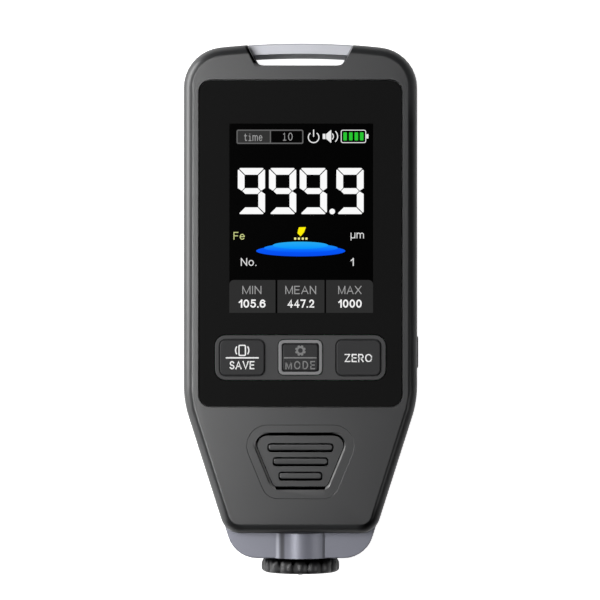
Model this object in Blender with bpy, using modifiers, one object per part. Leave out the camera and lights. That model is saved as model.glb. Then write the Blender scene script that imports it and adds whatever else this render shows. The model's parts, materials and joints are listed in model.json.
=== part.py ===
"""Coating thickness gauge, lying on its back with the display up.

Lengths are in millimetres and are turned into metres where a mesh or a curve is made.
X runs across the body, +Y towards the strap bar and +Z out of the display.
The origin is on the back face, in the middle of the gauge's length and of its body's width.
"""

import math

import bmesh
import bpy
import numpy as np
from mathutils import Matrix, Vector

MM = 0.001
FIT = 0.3  # gap between pieces that touch on the real gauge

# Body outline, seen from the front
HALF_WIDTH = 25.13
TOP_Y = 57.55
FRAME_TOP_Y = 57.93
FRAME_INSET = 0.1
TIP_Y = -57.93
ARCH_RADIUS = 162.0
TOP_CORNER = 8.7
SHOULDER_Y = -16.1
SHOULDER_RADIUS = 22.1
TAPER = math.radians(17.7)
SHELL_END_Y = -47.9
SHELL_CORNER = 4.25
NOSE_END_Y = -53.65
NOSE_CORNER = 6.5
NOSE_WALL = 7.5  # solid length of the nose, which carries the probe's tube

# Heights above the back face
FRONT_Z = 25.0
SHELL_SPLIT_Z = 19.4
FRAME_TOP_Z = 19.1
FRAME_BACK_Z = 5.5
REAR_TOP_Z = 5.2
AXIS_Z = 12.5

# Walls
FRONT_WALL = 2.6
SIDE_WALL = 1.8
BACK_WALL = 1.8
EDGE_FILLET = 2.1
EDGE_PROFILE = 0.4  # flatter than a quarter circle, which is 0.5
REAR_FILLET = 2.4

# Strap notch and bar
NOTCH_FLOOR_Y = 52.6
NOTCH_FLOOR_HALF = 9.35
NOTCH_LEAN = 0.523  # sideways step of the notch wall for each millimetre up
NOTCH_DRAFT = 0.7  # how much narrower the notch is at the split than at the face
NOTCH_CORNER = 2.4
NOTCH_OPEN_Y = 62.0
BAR_DEPTH = 2.35
SLOT_HALF = 10.5
SLOT_WALL = 1.9
NOTCH_BLOCK_HALF = 13.6  # half width of the solid block that the notch is cut in

# Window and screen
WINDOW = (-21.75, 21.75, -20.58, 49.39)
WINDOW_CORNER = 2.5
WINDOW_THICKNESS = 1.0
WINDOW_SINK = 0.1
POCKET_DEPTH = 1.4
POCKET_GAP = 0.2
SCREEN = (-17.9, 17.9, -3.3, 43.2)

# Keys
PANEL = (-18.33, 18.33, -14.93, -5.28)
PANEL_CORNER = 2.36
PANEL_BOTTOM_Z = 23.1
KEY_GAP = 0.25
SAVE_KEY = (-17.25, -7.75, -13.88, -6.32)
MODE_RING = (-4.7, 4.7, -13.83, -6.28)
MODE_RING_WIDTH = 0.69
ZERO_KEY = (7.75, 17.15, -13.88, -6.34)
KEY_CORNER = 1.2
KEY_TOP_Z = 25.25
KEY_FLANGE = 0.55
KEY_FLANGE_Z = (22.0, 22.8)
KEY_FOOT_RADIUS = 1.3
KEY_FOOT_Z = 21.7
RING_GAP = 0.15
RING_PROUD = 0.12
POWER_Y = -9.06
POWER_Z = 14.6
POWER_LENGTH = 7.0
POWER_HEIGHT = 3.0
POWER_PROUD = 0.5
POWER_DEPTH = 2.6  # length of the key inside the side wall's outer face
POWER_SWITCH = (3.0, 4.4, 3.2)  # the switch behind it, along X, Y and Z
POWER_SWITCH_GAP = 2.0

# Grip pad
PAD_TOP_Y = -26.4
PAD_END_Y = -38.5
PAD_TOP_HALF = 11.0
PAD_END_HALF = 5.98
PAD_TOP_CORNER = 2.6
PAD_END_CORNER = 1.7
PAD_SINK = 0.55
PAD_RAMP = (0.35, 0.15, 0.6)  # run of the recess wall at the sides, the top and the end
SEAM = (0.17, 0.3, 0.14)  # groove round the recess floor, at the sides, the top and the end
SEAM_SINK = 1.05
DISH_MARGIN = 1.9
DISH_SINK = 0.12
RIBS = ((-29.34, 6.95), (-32.35, 5.85), (-35.46, 4.6))  # middle Y and half length
RIB_WIDTH = 1.48
RIB_CORNER = 0.55
RIB_EDGE = 0.3
RIB_TOP_SINK = 0.02
RIB_GROOVE = 0.14
RIB_SHADE = 0.18  # extra width of the groove on a rib's lower side

# Probe
BARREL_RADIUS = 8.5
TUBE_RADIUS = 6.5
BORE_RADIUS = 5.0
TUBE_START_Y = -30.0
SLEEVE_END_Y = -57.0
SLEEVE_RADIUS = 8.5
SLEEVE_LOBES = 14
SLEEVE_STATIONS = ((0.0, 0.7, 0.05), (0.25, 0.2, 0.3), (0.8, 0.0, 0.4), (1.9, 0.0, 0.35), (2.5, 0.35, 0.12))
SLEEVE_NECK = 0.75  # how far the ring draws in where it meets the nose
SLEEVE_FLOOR = 0.8
SEAT_RADIUS = 6.5
SEAT_DEPTH = 3.5
SPIGOT_LENGTH = 2.6
TIP_RADIUS = 0.9
COLLAR = 0.8
COLLAR_RADIUS = 2.0
CORE_RADIUS = 1.5
CORE_LENGTH = 11.5
BOBBIN_LENGTH = 11.0
BOBBIN_FLANGE = 0.8
BOBBIN_WAIST = 2.6
CAP_LENGTH = 2.3

POINTS_PER_TURN = 8  # of a spring's wire

# Boards and cells
BOARD = (-21.2, 21.2, -22.5, 47.5)
BOARD_Z = (17.2, 18.8)
MODULE_Z = (21.2, 23.3)
HOLDER_Z = (19.3, 20.9)
HOLDER_RIM = 3.5
SWITCH_HALF = 2.3
SWITCH_HEIGHT = 1.3
HANG_X = 9.5
HANG_Y = 37.0
CELL_RADIUS = 5.25
CELL_LENGTH = 43.3
CELL_EDGE = 0.4
CELL_CAP_RADIUS = 1.9
CELL_CAP_HEIGHT = 0.9
CELL_X = 5.6
CELL_Z = 7.3
CELL_TAB = (6.4, 0.6, 7.6)  # width, thickness and height of a contact tab
CELL_SHIFT = 0.6  # each cell lies this much nearer its tab
BAY = (-11.4, 11.4, -23.6, 27.2)
BAY_WALL = 2.0
BAY_ROOF = 1.2
HOOKS_X = (-6.5, 6.5)
HOOK_HALF = 1.5
HOOK_FOOT_Z = 0.85
DOOR_CORNER = 2.0
THUMB_RADIUS = 6.0
BAY_ROOF_Z = 12.95
DOOR_OPENING = (-12.5, 12.5, -24.7, 28.3)
DOOR_THICKNESS = 1.5
GROOVE_START = 3.2
GROOVE_PITCH = 1.6
GROOVE_HALF = 6.0
GROOVE_DEPTH = 0.5
BOSSES = ((18.3, 43.5), (-18.3, 43.5), (12.9, -39.5), (-12.9, -39.5))
BOSS_RADIUS = 2.4
PILLAR_RADIUS = 3.2
BOSS_FOOT_Z = 9.0
SCREW_RADIUS = 0.85
SCREW_TOP_Z = 16.0
HEAD_RADIUS = 1.8
HEAD_Z = (2.3, 3.7)
DRIVE = (0.8, 0.2)  # half length and half width of the cross recess


def clear_scene():
    for item in list(bpy.data.objects):
        bpy.data.objects.remove(item, do_unlink=True)


def new_collection(name):
    group = bpy.data.collections.new(name)
    bpy.context.scene.collection.children.link(group)
    return group


def material(name, colour, roughness, metallic=0.0):
    made = bpy.data.materials.new(name)
    made.use_nodes = True
    shader = made.node_tree.nodes["Principled BSDF"]
    shader.inputs["Base Color"].default_value = (*colour, 1.0)
    shader.inputs["Roughness"].default_value = roughness
    shader.inputs["Metallic"].default_value = metallic
    made.diffuse_color = (*colour, 1.0)
    return made


clear_scene()
PARTS = new_collection("coating_thickness_gauge")
CUTTERS = new_collection("cutters")

SHELL_GREY = material("shell_grey", (0.085, 0.087, 0.092), 0.42)
FRAME_LAVENDER = material("frame_lavender", (0.36, 0.36, 0.42), 0.34, 0.6)
GLASS_BLACK = material("window_black", (0.01, 0.01, 0.01), 0.12)
PANEL_GREY = material("panel_grey", (0.065, 0.065, 0.068), 0.5)
KEY_BLACK = material("key_black", (0.038, 0.038, 0.04), 0.5)
RING_GREY = material("ring_grey", (0.24, 0.24, 0.25), 0.4, 0.3)
SLEEVE_BLACK = material("sleeve_black", (0.02, 0.02, 0.022), 0.4)
STEEL = material("steel", (0.55, 0.55, 0.56), 0.25, 1.0)
SPRING_STEEL = material("spring_steel", (0.62, 0.6, 0.57), 0.3, 1.0)
COPPER = material("copper", (0.72, 0.32, 0.14), 0.35, 1.0)
BOARD_GREEN = material("board_green", (0.02, 0.13, 0.06), 0.5)
HOLDER_WHITE = material("holder_white", (0.75, 0.75, 0.73), 0.6)
CELL_JACKET = material("cell_jacket", (0.1, 0.12, 0.16), 0.35, 0.2)


def pin_down(thing, paint, group=PARTS):
    """Link an object to its collection and give it its one material."""
    group.objects.link(thing)
    thing.data.materials.clear()
    if paint:
        thing.data.materials.append(paint)
    return thing


def rounded_polygon(corners, steps=6):
    """Outline through corners (x, y, radius), each replaced by its tangent arc."""
    points = []
    count = len(corners)
    for i, (x, y, radius) in enumerate(corners):
        corner = Vector((x, y))
        before = (Vector(corners[i - 1][:2]) - corner).normalized()
        after = (Vector(corners[(i + 1) % count][:2]) - corner).normalized()
        if radius <= 0:
            points.append((x, y))
            continue
        half = before.angle(after) / 2
        centre = corner + (before + after).normalized() * radius / math.sin(half)
        start = corner + before * radius / math.tan(half) - centre
        turn = start.angle_signed(corner + after * radius / math.tan(half) - centre)
        for step in range(steps + 1):
            spoke = start.copy()
            spoke.rotate(Matrix.Rotation(-turn * step / steps, 2))
            points.append(tuple(centre + spoke))
    return points


def rounded_box(box, radius, steps=6, grow=0.0):
    """Outline of a rectangle (x0, x1, y0, y1) with round corners, grown on every side."""
    x0, x1, y0, y1 = box[0] - grow, box[1] + grow, box[2] - grow, box[3] + grow
    r = max(radius + grow, 0.05)
    return rounded_polygon([(x0, y0, r), (x1, y0, r), (x1, y1, r), (x0, y1, r)], steps)


def middle(box):
    """Centre of a rectangle (x0, x1, y0, y1)."""
    return (box[0] + box[1]) / 2, (box[2] + box[3]) / 2


def arch_y(x, inset):
    """Height of a line inside the frame's top arch at x."""
    return FRAME_TOP_Y - ARCH_RADIUS + math.sqrt((ARCH_RADIUS - inset) ** 2 - x * x)


def arc(centre, radius, start, end, steps):
    angles = np.linspace(start, end, steps + 1)
    return [(centre[0] + radius * math.cos(a), centre[1] + radius * math.sin(a)) for a in angles]


def body_outline(inset, end_y, end_corner, top_y=TOP_Y):
    """The gauge's outline: top arch, corner, side, shoulder, taper and end corner, then mirrored."""
    corner_x = HALF_WIDTH - TOP_CORNER
    reach = math.sqrt((ARCH_RADIUS - TOP_CORNER) ** 2 - corner_x ** 2)
    corner_y = top_y - ARCH_RADIUS + reach
    meet = math.atan2(reach, corner_x)
    top = arc((0, top_y - ARCH_RADIUS), ARCH_RADIUS - inset, math.pi / 2, meet, 8)
    corner = arc((corner_x, corner_y), TOP_CORNER - inset, meet, 0, 9)
    shoulder_x = HALF_WIDTH - SHOULDER_RADIUS
    shoulder = arc((shoulder_x, SHOULDER_Y), SHOULDER_RADIUS - inset, 0, -TAPER, 5)
    normal = Vector((math.cos(TAPER), -math.sin(TAPER)))
    offset = normal.dot(Vector(shoulder[-1]))
    end_centre_y = end_y + end_corner
    end_x = (offset - end_corner - end_centre_y * normal.y) / normal.x
    end = arc((end_x, end_centre_y), end_corner, -TAPER, -math.pi / 2, 7)
    half = top[:-1] + corner + shoulder + end
    left = [(-x, y) for x, y in reversed(half) if x > 1e-6]
    return half + left


def flat_solid(name, outline, low, high, group=PARTS, paint=None):
    """A closed solid with the given outline between two heights, made from a filled 2D curve."""
    curve = bpy.data.curves.new(name, "CURVE")
    curve.dimensions = "2D"
    curve.fill_mode = "BOTH"
    curve.extrude = (high - low) / 2 * MM
    spline = curve.splines.new("POLY")
    spline.points.add(len(outline) - 1)
    for point, (x, y) in zip(spline.points, outline):
        point.co = (x * MM, y * MM, 0.0, 1.0)
    spline.use_cyclic_u = True
    drawn = bpy.data.objects.new(name + "_outline", curve)
    drawn.location.z = (low + high) / 2 * MM
    bpy.context.scene.collection.objects.link(drawn)
    bpy.context.view_layer.update()
    graph = bpy.context.evaluated_depsgraph_get()
    mesh = bpy.data.meshes.new_from_object(drawn.evaluated_get(graph))
    mesh.name = name
    solid = bpy.data.objects.new(name, mesh)
    solid.matrix_world = drawn.matrix_world.copy()
    bpy.data.objects.remove(drawn, do_unlink=True)
    weld(mesh, merge_caps=True)
    return pin_down(solid, paint, group)


def weld(mesh, merge_caps=False):
    """Join doubled points, face outwards, and turn triangulated caps back into single faces."""
    cage = bmesh.new()
    cage.from_mesh(mesh)
    bmesh.ops.remove_doubles(cage, verts=cage.verts, dist=1e-6)
    if merge_caps:
        level = [e for e in cage.edges if len(e.link_faces) == 2 and e.calc_face_angle(1.0) < 1e-3
                 and abs(e.link_faces[0].normal.z) > 0.99]
        bmesh.ops.dissolve_edges(cage, edges=level, use_verts=False)
    bmesh.ops.recalc_face_normals(cage, faces=cage.faces)
    cage.to_mesh(mesh)
    cage.free()


def stand_along_y(thing, y, z):
    """Turn a solid whose height runs along +Z so that it runs along +Y from the given place."""
    thing.matrix_world = Matrix.Translation((0, y * MM, z * MM)) @ Matrix.Rotation(-math.pi / 2, 4, "X")
    return thing


def turned(name, profile, steps=32, group=PARTS, paint=None):
    """A solid of revolution about Z from a profile of (radius, height), outer side first, downwards."""
    mesh = bpy.data.meshes.new(name)
    points = [(r * MM, 0.0, z * MM) for r, z in profile]
    closed = profile[0][0] > 1e-6
    edges = [(i, i + 1) for i in range(len(points) - 1)]
    if closed:
        edges.append((len(points) - 1, 0))
    mesh.from_pydata(points, edges, [])
    solid = bpy.data.objects.new(name, mesh)
    pin_down(solid, paint, group)
    screw = solid.modifiers.new("turn", "SCREW")
    screw.steps = steps
    screw.render_steps = steps
    screw.use_merge_vertices = True
    screw.merge_threshold = 1e-6
    return solid


def along_probe(thing, y):
    """Lay a turned piece on the probe's axis, with its top towards the strap bar."""
    return stand_along_y(thing, y, AXIS_Z)


def carry(pieces, move):
    """Move finished solids and the cutters that shape them together."""
    bpy.context.view_layer.update()
    for piece in pieces:
        piece.matrix_world = move @ piece.matrix_world
    return pieces


def boolean(target, cutter, operation="DIFFERENCE"):
    step = target.modifiers.new(cutter.name, "BOOLEAN")
    step.operation = operation
    step.solver = "EXACT"
    step.object = cutter
    cutter.hide_render = True
    cutter.display_type = "WIRE"
    return target


def cut(target, name, outline, low, high):
    return boolean(target, flat_solid(name, outline, low, high, CUTTERS))


def join(target, name, outline, low, high):
    return boolean(target, flat_solid(name, outline, low, high, CUTTERS), "UNION")


def cylinder_cutter(name, radius, low, high, x=0.0, y=0.0, sides=32, top_radius=None):
    """A round or conical cutter along Z, from a bmesh cone with filled ends."""
    mesh = bpy.data.meshes.new(name)
    cage = bmesh.new()
    wide = radius if top_radius is None else top_radius
    bmesh.ops.create_cone(cage, cap_ends=True, segments=sides, radius1=radius * MM, radius2=wide * MM,
                          depth=(high - low) * MM)
    bmesh.ops.translate(cage, verts=cage.verts, vec=(x * MM, y * MM, (low + high) / 2 * MM))
    cage.to_mesh(mesh)
    cage.free()
    return pin_down(bpy.data.objects.new(name, mesh), None, CUTTERS)


def block(name, x0, x1, y0, y1, z0, z1, group=PARTS, paint=None):
    """A plain box between two corners."""
    mesh = bpy.data.meshes.new(name)
    cage = bmesh.new()
    bmesh.ops.create_cube(cage, size=1.0)
    bmesh.ops.scale(cage, verts=cage.verts, vec=((x1 - x0) * MM, (y1 - y0) * MM, (z1 - z0) * MM))
    middle = ((x0 + x1) / 2 * MM, (y0 + y1) / 2 * MM, (z0 + z1) / 2 * MM)
    bmesh.ops.translate(cage, verts=cage.verts, vec=middle)
    cage.to_mesh(mesh)
    cage.free()
    return pin_down(bpy.data.objects.new(name, mesh), paint, group)


def soften(thing, width, segments, height, profile=0.5):
    """Round the edges that lie at one height, chosen by a bevel weight on each."""
    mesh = thing.data
    cage = bmesh.new()
    cage.from_mesh(mesh)
    weight = cage.edges.layers.float.new("bevel_weight_edge")
    for edge in cage.edges:
        ends = [(thing.matrix_world @ v.co).z / MM for v in edge.verts]
        level = all(abs(z - height) < 0.01 for z in ends)
        if level and len(edge.link_faces) == 2 and edge.calc_face_angle(0.0) > 0.5:
            edge[weight] = 1.0
    cage.to_mesh(mesh)
    cage.free()
    rounding = thing.modifiers.new("soft_edge", "BEVEL")
    rounding.limit_method = "WEIGHT"
    rounding.width = width * MM
    rounding.segments = segments
    rounding.profile = profile
    return thing


def taper_foot(thing, amount, height):
    """Draw the lower points of a cutter towards X = 0 by a fixed amount."""
    for vertex in thing.data.vertices:
        if (thing.matrix_world @ vertex.co).z / MM < height:
            vertex.co.x -= math.copysign(amount * MM, vertex.co.x)
    return thing


def notch_outline():
    """The strap notch: a floor with round corners and walls that lean outwards."""
    half_open = NOTCH_FLOOR_HALF + NOTCH_LEAN * (NOTCH_OPEN_Y - NOTCH_FLOOR_Y)
    return rounded_polygon([
        (-half_open, NOTCH_OPEN_Y, 0), (-NOTCH_FLOOR_HALF, NOTCH_FLOOR_Y, NOTCH_CORNER),
        (NOTCH_FLOOR_HALF, NOTCH_FLOOR_Y, NOTCH_CORNER), (half_open, NOTCH_OPEN_Y, 0)], 5)


def cavity(name, inset, end_y, end_corner, low, high):
    """The hollow inside a casing: the inset outline, kept clear of the strap notch."""
    hollow = flat_solid(name, body_outline(inset, end_y, end_corner), low, high, CUTTERS)
    half, foot = NOTCH_BLOCK_HALF, NOTCH_FLOOR_Y - SLOT_WALL
    keep = block(name + "_notch_wall", -half, half, foot, NOTCH_OPEN_Y, low - 1, high + 1, CUTTERS)
    return boolean(hollow, keep)


def pad_outline(sides, top, end, steps=6):
    """The grip pad: a rounded trapezoid, wider towards the display, grown by its own step on each side."""
    lean = (PAD_TOP_HALF - PAD_END_HALF) / (PAD_TOP_Y - PAD_END_Y)
    sideways = sides * math.sqrt(1 + lean * lean)
    top_half = PAD_TOP_HALF + sideways + lean * top
    end_half = PAD_END_HALF + sideways - lean * end
    top_y, end_y = PAD_TOP_Y + top, PAD_END_Y - end
    return rounded_polygon([
        (-top_half, top_y, PAD_TOP_CORNER + sides), (-end_half, end_y, PAD_END_CORNER + sides),
        (end_half, end_y, PAD_END_CORNER + sides), (top_half, top_y, PAD_TOP_CORNER + sides)], steps)


def loft(name, sections, group=PARTS, paint=None):
    """A solid through outlines of the same point count, given as (height, outline) from low to high."""
    mesh = bpy.data.meshes.new(name)
    cage = bmesh.new()
    rings = [[cage.verts.new((x * MM, y * MM, z * MM)) for x, y in outline] for z, outline in sections]
    for low, high in zip(rings[:-1], rings[1:]):
        for i in range(len(low)):
            cage.faces.new((low[i - 1], low[i], high[i], high[i - 1]))
    cage.faces.new(rings[0])
    cage.faces.new(rings[-1])
    bmesh.ops.recalc_face_normals(cage, faces=cage.faces)
    cage.to_mesh(mesh)
    cage.free()
    return pin_down(bpy.data.objects.new(name, mesh), paint, group)


def front_shell():
    shell = flat_solid("front_shell", body_outline(0, SHELL_END_Y, SHELL_CORNER), SHELL_SPLIT_Z, FRONT_Z,
                       paint=SHELL_GREY)
    soften(shell, EDGE_FILLET, 5, FRONT_Z, EDGE_PROFILE)
    notch = flat_solid("front_notch", notch_outline(), SHELL_SPLIT_Z - 1, FRONT_Z + 1, CUTTERS)
    boolean(shell, taper_foot(notch, NOTCH_DRAFT, SHELL_SPLIT_Z))
    boolean(shell, cavity("front_cavity", SIDE_WALL, SHELL_END_Y + SIDE_WALL, SHELL_CORNER - SIDE_WALL,
                          SHELL_SPLIT_Z - 1, FRONT_Z - FRONT_WALL))
    for i, (x, y) in enumerate(BOSSES):
        top = FRONT_Z - FRONT_WALL + 0.2
        boss = cylinder_cutter("front_boss_%d" % i, BOSS_RADIUS, BOSS_FOOT_Z, top, x, y, 16)
        boolean(shell, boss, "UNION")
        pilot = cylinder_cutter("pilot_%d" % i, SCREW_RADIUS + 0.2, BOSS_FOOT_Z - 1, SCREW_TOP_Z + 1, x, y, 12)
        boolean(shell, pilot)
    cut(shell, "window_pocket", rounded_box(WINDOW, WINDOW_CORNER, 6, POCKET_GAP),
        FRONT_Z - POCKET_DEPTH, FRONT_Z + 1)
    cut(shell, "screen_opening", rounded_box(SCREEN, 1.0, 3, FIT), FRONT_Z - 4, FRONT_Z)
    cut(shell, "panel_opening", rounded_box(PANEL, PANEL_CORNER, 4, FIT), FRONT_Z - 4, FRONT_Z)
    grip_pad(shell)
    return shell


def grip_pad(shell):
    """Cut a shallow dish with a walled recess in it.

    The recess floor is an island inside a fine seam, and each of its three ribs stands in a groove of its own.
    """
    rim, foot = DISH_MARGIN, DISH_MARGIN - 0.08
    boolean(shell, loft("pad_dish", [(FRONT_Z - DISH_SINK, pad_outline(foot, foot, foot)),
                                     (FRONT_Z, pad_outline(rim, rim, rim)),
                                     (FRONT_Z + 1, pad_outline(rim, rim, rim))], CUTTERS))
    wall = [-run for run in PAD_RAMP]
    boolean(shell, loft("pad_recess", [(FRONT_Z - SEAM_SINK, pad_outline(*wall)),
                                       (FRONT_Z - PAD_SINK, pad_outline(*wall)),
                                       (FRONT_Z - DISH_SINK, pad_outline(0, 0, 0)),
                                       (FRONT_Z + 1, pad_outline(0, 0, 0))], CUTTERS))
    island = [run - gap for run, gap in zip(wall, SEAM)]
    foot_z, rib_z = FRONT_Z - SEAM_SINK - 0.5, FRONT_Z - RIB_TOP_SINK
    join(shell, "pad_floor", pad_outline(*island), foot_z, FRONT_Z - PAD_SINK)
    for i, (y, half) in enumerate(RIBS):
        rib = (-half, half, y - RIB_WIDTH / 2, y + RIB_WIDTH / 2)
        moat = (rib[0], rib[1], rib[2] - RIB_SHADE, rib[3])
        cut(shell, "pad_groove_%d" % i, rounded_box(moat, RIB_CORNER, 3, RIB_GROOVE),
            FRONT_Z - SEAM_SINK, FRONT_Z + 1)
        bar = flat_solid("pad_rib_%d" % i, rounded_box(rib, RIB_CORNER, 4), foot_z, rib_z, CUTTERS)
        soften(bar, RIB_EDGE, 2, rib_z)
        boolean(shell, bar, "UNION")


def mid_frame():
    outline = body_outline(FRAME_INSET, NOSE_END_Y, NOSE_CORNER, FRAME_TOP_Y)
    frame = flat_solid("mid_frame", outline, FRAME_BACK_Z, FRAME_TOP_Z, paint=FRAME_LAVENDER)
    soften(frame, 0.3, 2, FRAME_TOP_Z)
    boolean(frame, cavity("frame_cavity", SIDE_WALL + FRAME_INSET, NOSE_END_Y + NOSE_WALL, 3.0,
                          FRAME_BACK_Z - 1, FRAME_TOP_Z + 1))
    barrel = cylinder_cutter("barrel", BARREL_RADIUS, 0, SHELL_END_Y - FIT - NOSE_END_Y, sides=48)
    boolean(frame, along_probe(barrel, NOSE_END_Y), "UNION")
    tube = cylinder_cutter("tube", TUBE_RADIUS, 0, TUBE_START_Y - NOSE_END_Y - 1, sides=36)
    boolean(frame, along_probe(tube, NOSE_END_Y + 1), "UNION")
    bore = cylinder_cutter("bore", BORE_RADIUS, 0, TUBE_START_Y - NOSE_END_Y + 4, sides=32)
    boolean(frame, along_probe(bore, NOSE_END_Y - 1))
    seat = cylinder_cutter("sleeve_seat", SEAT_RADIUS, 0, SEAT_DEPTH + 1, sides=36)
    boolean(frame, along_probe(seat, NOSE_END_Y - 1))
    inner = [(x, arch_y(x, BAR_DEPTH)) for x in np.linspace(-SLOT_HALF, SLOT_HALF, 11)]
    slot = [(-SLOT_HALF + 1, NOTCH_FLOOR_Y), (SLOT_HALF - 1, NOTCH_FLOOR_Y)] + inner[::-1]
    cut(frame, "strap_slot", slot, FRAME_BACK_Z - 1, FRAME_TOP_Z + 1)
    power_hole = block("power_hole", HALF_WIDTH - 4, HALF_WIDTH + 2, POWER_Y - POWER_LENGTH / 2 - KEY_GAP,
                       POWER_Y + POWER_LENGTH / 2 + KEY_GAP, POWER_Z - POWER_HEIGHT / 2 - KEY_GAP,
                       POWER_Z + POWER_HEIGHT / 2 + KEY_GAP, CUTTERS)
    return boolean(frame, power_hole)


def rear_shell():
    outline = body_outline(0, SHELL_END_Y, SHELL_CORNER)
    shell = flat_solid("rear_shell", outline, 0, REAR_TOP_Z, paint=SHELL_GREY)
    soften(shell, REAR_FILLET, 4, 0)
    cut(shell, "rear_notch", notch_outline(), -1, REAR_TOP_Z + 1)
    boolean(shell, cavity("rear_cavity", SIDE_WALL, SHELL_END_Y + SIDE_WALL, SHELL_CORNER - SIDE_WALL,
                          BACK_WALL, REAR_TOP_Z + 1))
    join(shell, "bay_walls", rounded_box(BAY, 1.5, 4, BAY_WALL), 1, BAY_ROOF_Z + BAY_ROOF)
    cut(shell, "bay_hollow", rounded_box(BAY, 1.0, 4), -1, BAY_ROOF_Z)
    cut(shell, "door_opening", rounded_box(DOOR_OPENING, DOOR_CORNER, 5), -1, BACK_WALL)
    half, edge = HOOK_HALF + 0.4, DOOR_OPENING[3]
    for i, x in enumerate(HOOKS_X):
        boolean(shell, block("hook_slot_%d" % i, x - half, x + half, edge - 1, edge + 1.2, 0.5, 2.7, CUTTERS))
    scoop = cylinder_cutter("thumb_scoop", THUMB_RADIUS, -0.6, 0.9, 0, DOOR_OPENING[2], 28, THUMB_RADIUS - 1.6)
    boolean(shell, scoop)
    for i, (x, y) in enumerate(BOSSES):
        pillar = cylinder_cutter("rear_boss_%d" % i, PILLAR_RADIUS, 1, BOSS_FOOT_Z - FIT, x, y, 16)
        boolean(shell, pillar, "UNION")
        well = cylinder_cutter("head_well_%d" % i, HEAD_RADIUS + 0.4, -1, HEAD_Z[1] + FIT, x, y, 16)
        boolean(shell, well)
        low, high = HEAD_Z[1] - 1, BOSS_FOOT_Z + 1
        boolean(shell, cylinder_cutter("shank_hole_%d" % i, SCREW_RADIUS + FIT, low, high, x, y, 12))
    return shell


def display_window():
    top = FRONT_Z - WINDOW_SINK
    glass = flat_solid("display_window", rounded_box(WINDOW, WINDOW_CORNER, 7), top - WINDOW_THICKNESS, top,
                       paint=GLASS_BLACK)
    soften(glass, 0.12, 1, top)
    return cut(glass, "window_key_opening", rounded_box(PANEL, PANEL_CORNER, 6, 0.15), top - 3, top + 1)


def key_panel():
    panel = flat_solid("key_panel", rounded_box(PANEL, PANEL_CORNER, 7), PANEL_BOTTOM_Z, FRONT_Z,
                       paint=PANEL_GREY)
    soften(panel, 0.2, 2, FRONT_Z)
    openings = (("save", SAVE_KEY, KEY_GAP), ("mode", MODE_RING, RING_GAP), ("zero", ZERO_KEY, KEY_GAP))
    for name, box, gap in openings:
        cut(panel, name + "_opening", rounded_box(box, KEY_CORNER, 4, gap), PANEL_BOTTOM_Z - 1, FRONT_Z + 1)
    return panel


def mode_ring():
    top = FRONT_Z + RING_PROUD
    outline = rounded_box(MODE_RING, KEY_CORNER, 5)
    ring = flat_solid("mode_ring", outline, PANEL_BOTTOM_Z + FIT, top, paint=RING_GREY)
    soften(ring, 0.12, 1, top)
    return cut(ring, "mode_ring_hole", rounded_box(MODE_RING, KEY_CORNER, 4, -MODE_RING_WIDTH),
               PANEL_BOTTOM_Z - 1, FRONT_Z + 2)


def press_key(name, box, corner):
    """A front key: soft-edged cap, a flange that the panel holds back and a foot over the switch."""
    low, high = KEY_FLANGE_Z
    cap = flat_solid(name, rounded_box(box, corner, 5), low + 0.1, KEY_TOP_Z, paint=KEY_BLACK)
    soften(cap, 0.25, 2, KEY_TOP_Z)
    join(cap, name + "_flange", rounded_box(box, corner, 3, KEY_FLANGE), low, high)
    foot = cylinder_cutter(name + "_foot", KEY_FOOT_RADIUS, KEY_FOOT_Z, low + 0.5, *middle(box), 20)
    return boolean(cap, foot, "UNION")


def mode_key_box():
    inset = MODE_RING_WIDTH + KEY_GAP
    return (MODE_RING[0] + inset, MODE_RING[1] - inset, MODE_RING[2] + inset, MODE_RING[3] - inset)


def power_button():
    """The side key: a pill with rounded edges that slides through the frame's wall."""
    half = POWER_LENGTH / 2
    pill = (-half, half, -POWER_HEIGHT / 2, POWER_HEIGHT / 2)
    top = POWER_DEPTH + POWER_PROUD
    key = flat_solid("power_button", rounded_box(pill, 0.6, 4), 0, top, paint=KEY_BLACK)
    soften(key, 0.3, 2, top)
    flange = flat_solid("power_flange", rounded_box(pill, 0.8, 3, 0.7), -0.6, 0.3, CUTTERS)
    boolean(key, flange, "UNION")
    outwards = Matrix(((0, 0, 1), (1, 0, 0), (0, 1, 0))).to_4x4()
    seat = (HALF_WIDTH - POWER_DEPTH, POWER_Y, POWER_Z)
    carry([key, flange], Matrix.Translation(Vector(seat) * MM) @ outwards)
    return key


def battery_door():
    """The lid's plate with two hooks at its far edge and four finger grooves at its near one."""
    outline = rounded_box(DOOR_OPENING, DOOR_CORNER, 5, -FIT)
    door = flat_solid("battery_door", outline, 0, DOOR_THICKNESS, paint=SHELL_GREY)
    edge = DOOR_OPENING[3] - FIT
    for i, x in enumerate(HOOKS_X):
        hook = block("door_hook_%d" % i, x - HOOK_HALF, x + HOOK_HALF, edge - 1, edge + 1,
                     HOOK_FOOT_Z, DOOR_THICKNESS, CUTTERS)
        boolean(door, hook, "UNION")
    for i in range(4):
        y = DOOR_OPENING[2] + GROOVE_START + i * GROOVE_PITCH
        half = GROOVE_HALF - i * GROOVE_PITCH / 2
        groove = (-half, half, y - GROOVE_PITCH / 4, y + GROOVE_PITCH / 4)
        cut(door, "door_groove_%d" % i, rounded_box(groove, 0.39, 3), -1, GROOVE_DEPTH)
    return door


def screen_parts():
    """The colour display and the white frame that backs it and clears the upper bosses."""
    module = flat_solid("display_module", rounded_box(SCREEN, 0.6, 3), *MODULE_Z, paint=GLASS_BLACK)
    holder = flat_solid("display_holder", rounded_box(SCREEN, 0.6, 3, 0.6), *HOLDER_Z, paint=HOLDER_WHITE)
    cut(holder, "holder_window", rounded_box(SCREEN, 1.0, 3, -HOLDER_RIM), HOLDER_Z[0] - 1, HOLDER_Z[1] - 0.8)
    clear_bosses(holder)
    return [module, holder]


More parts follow.
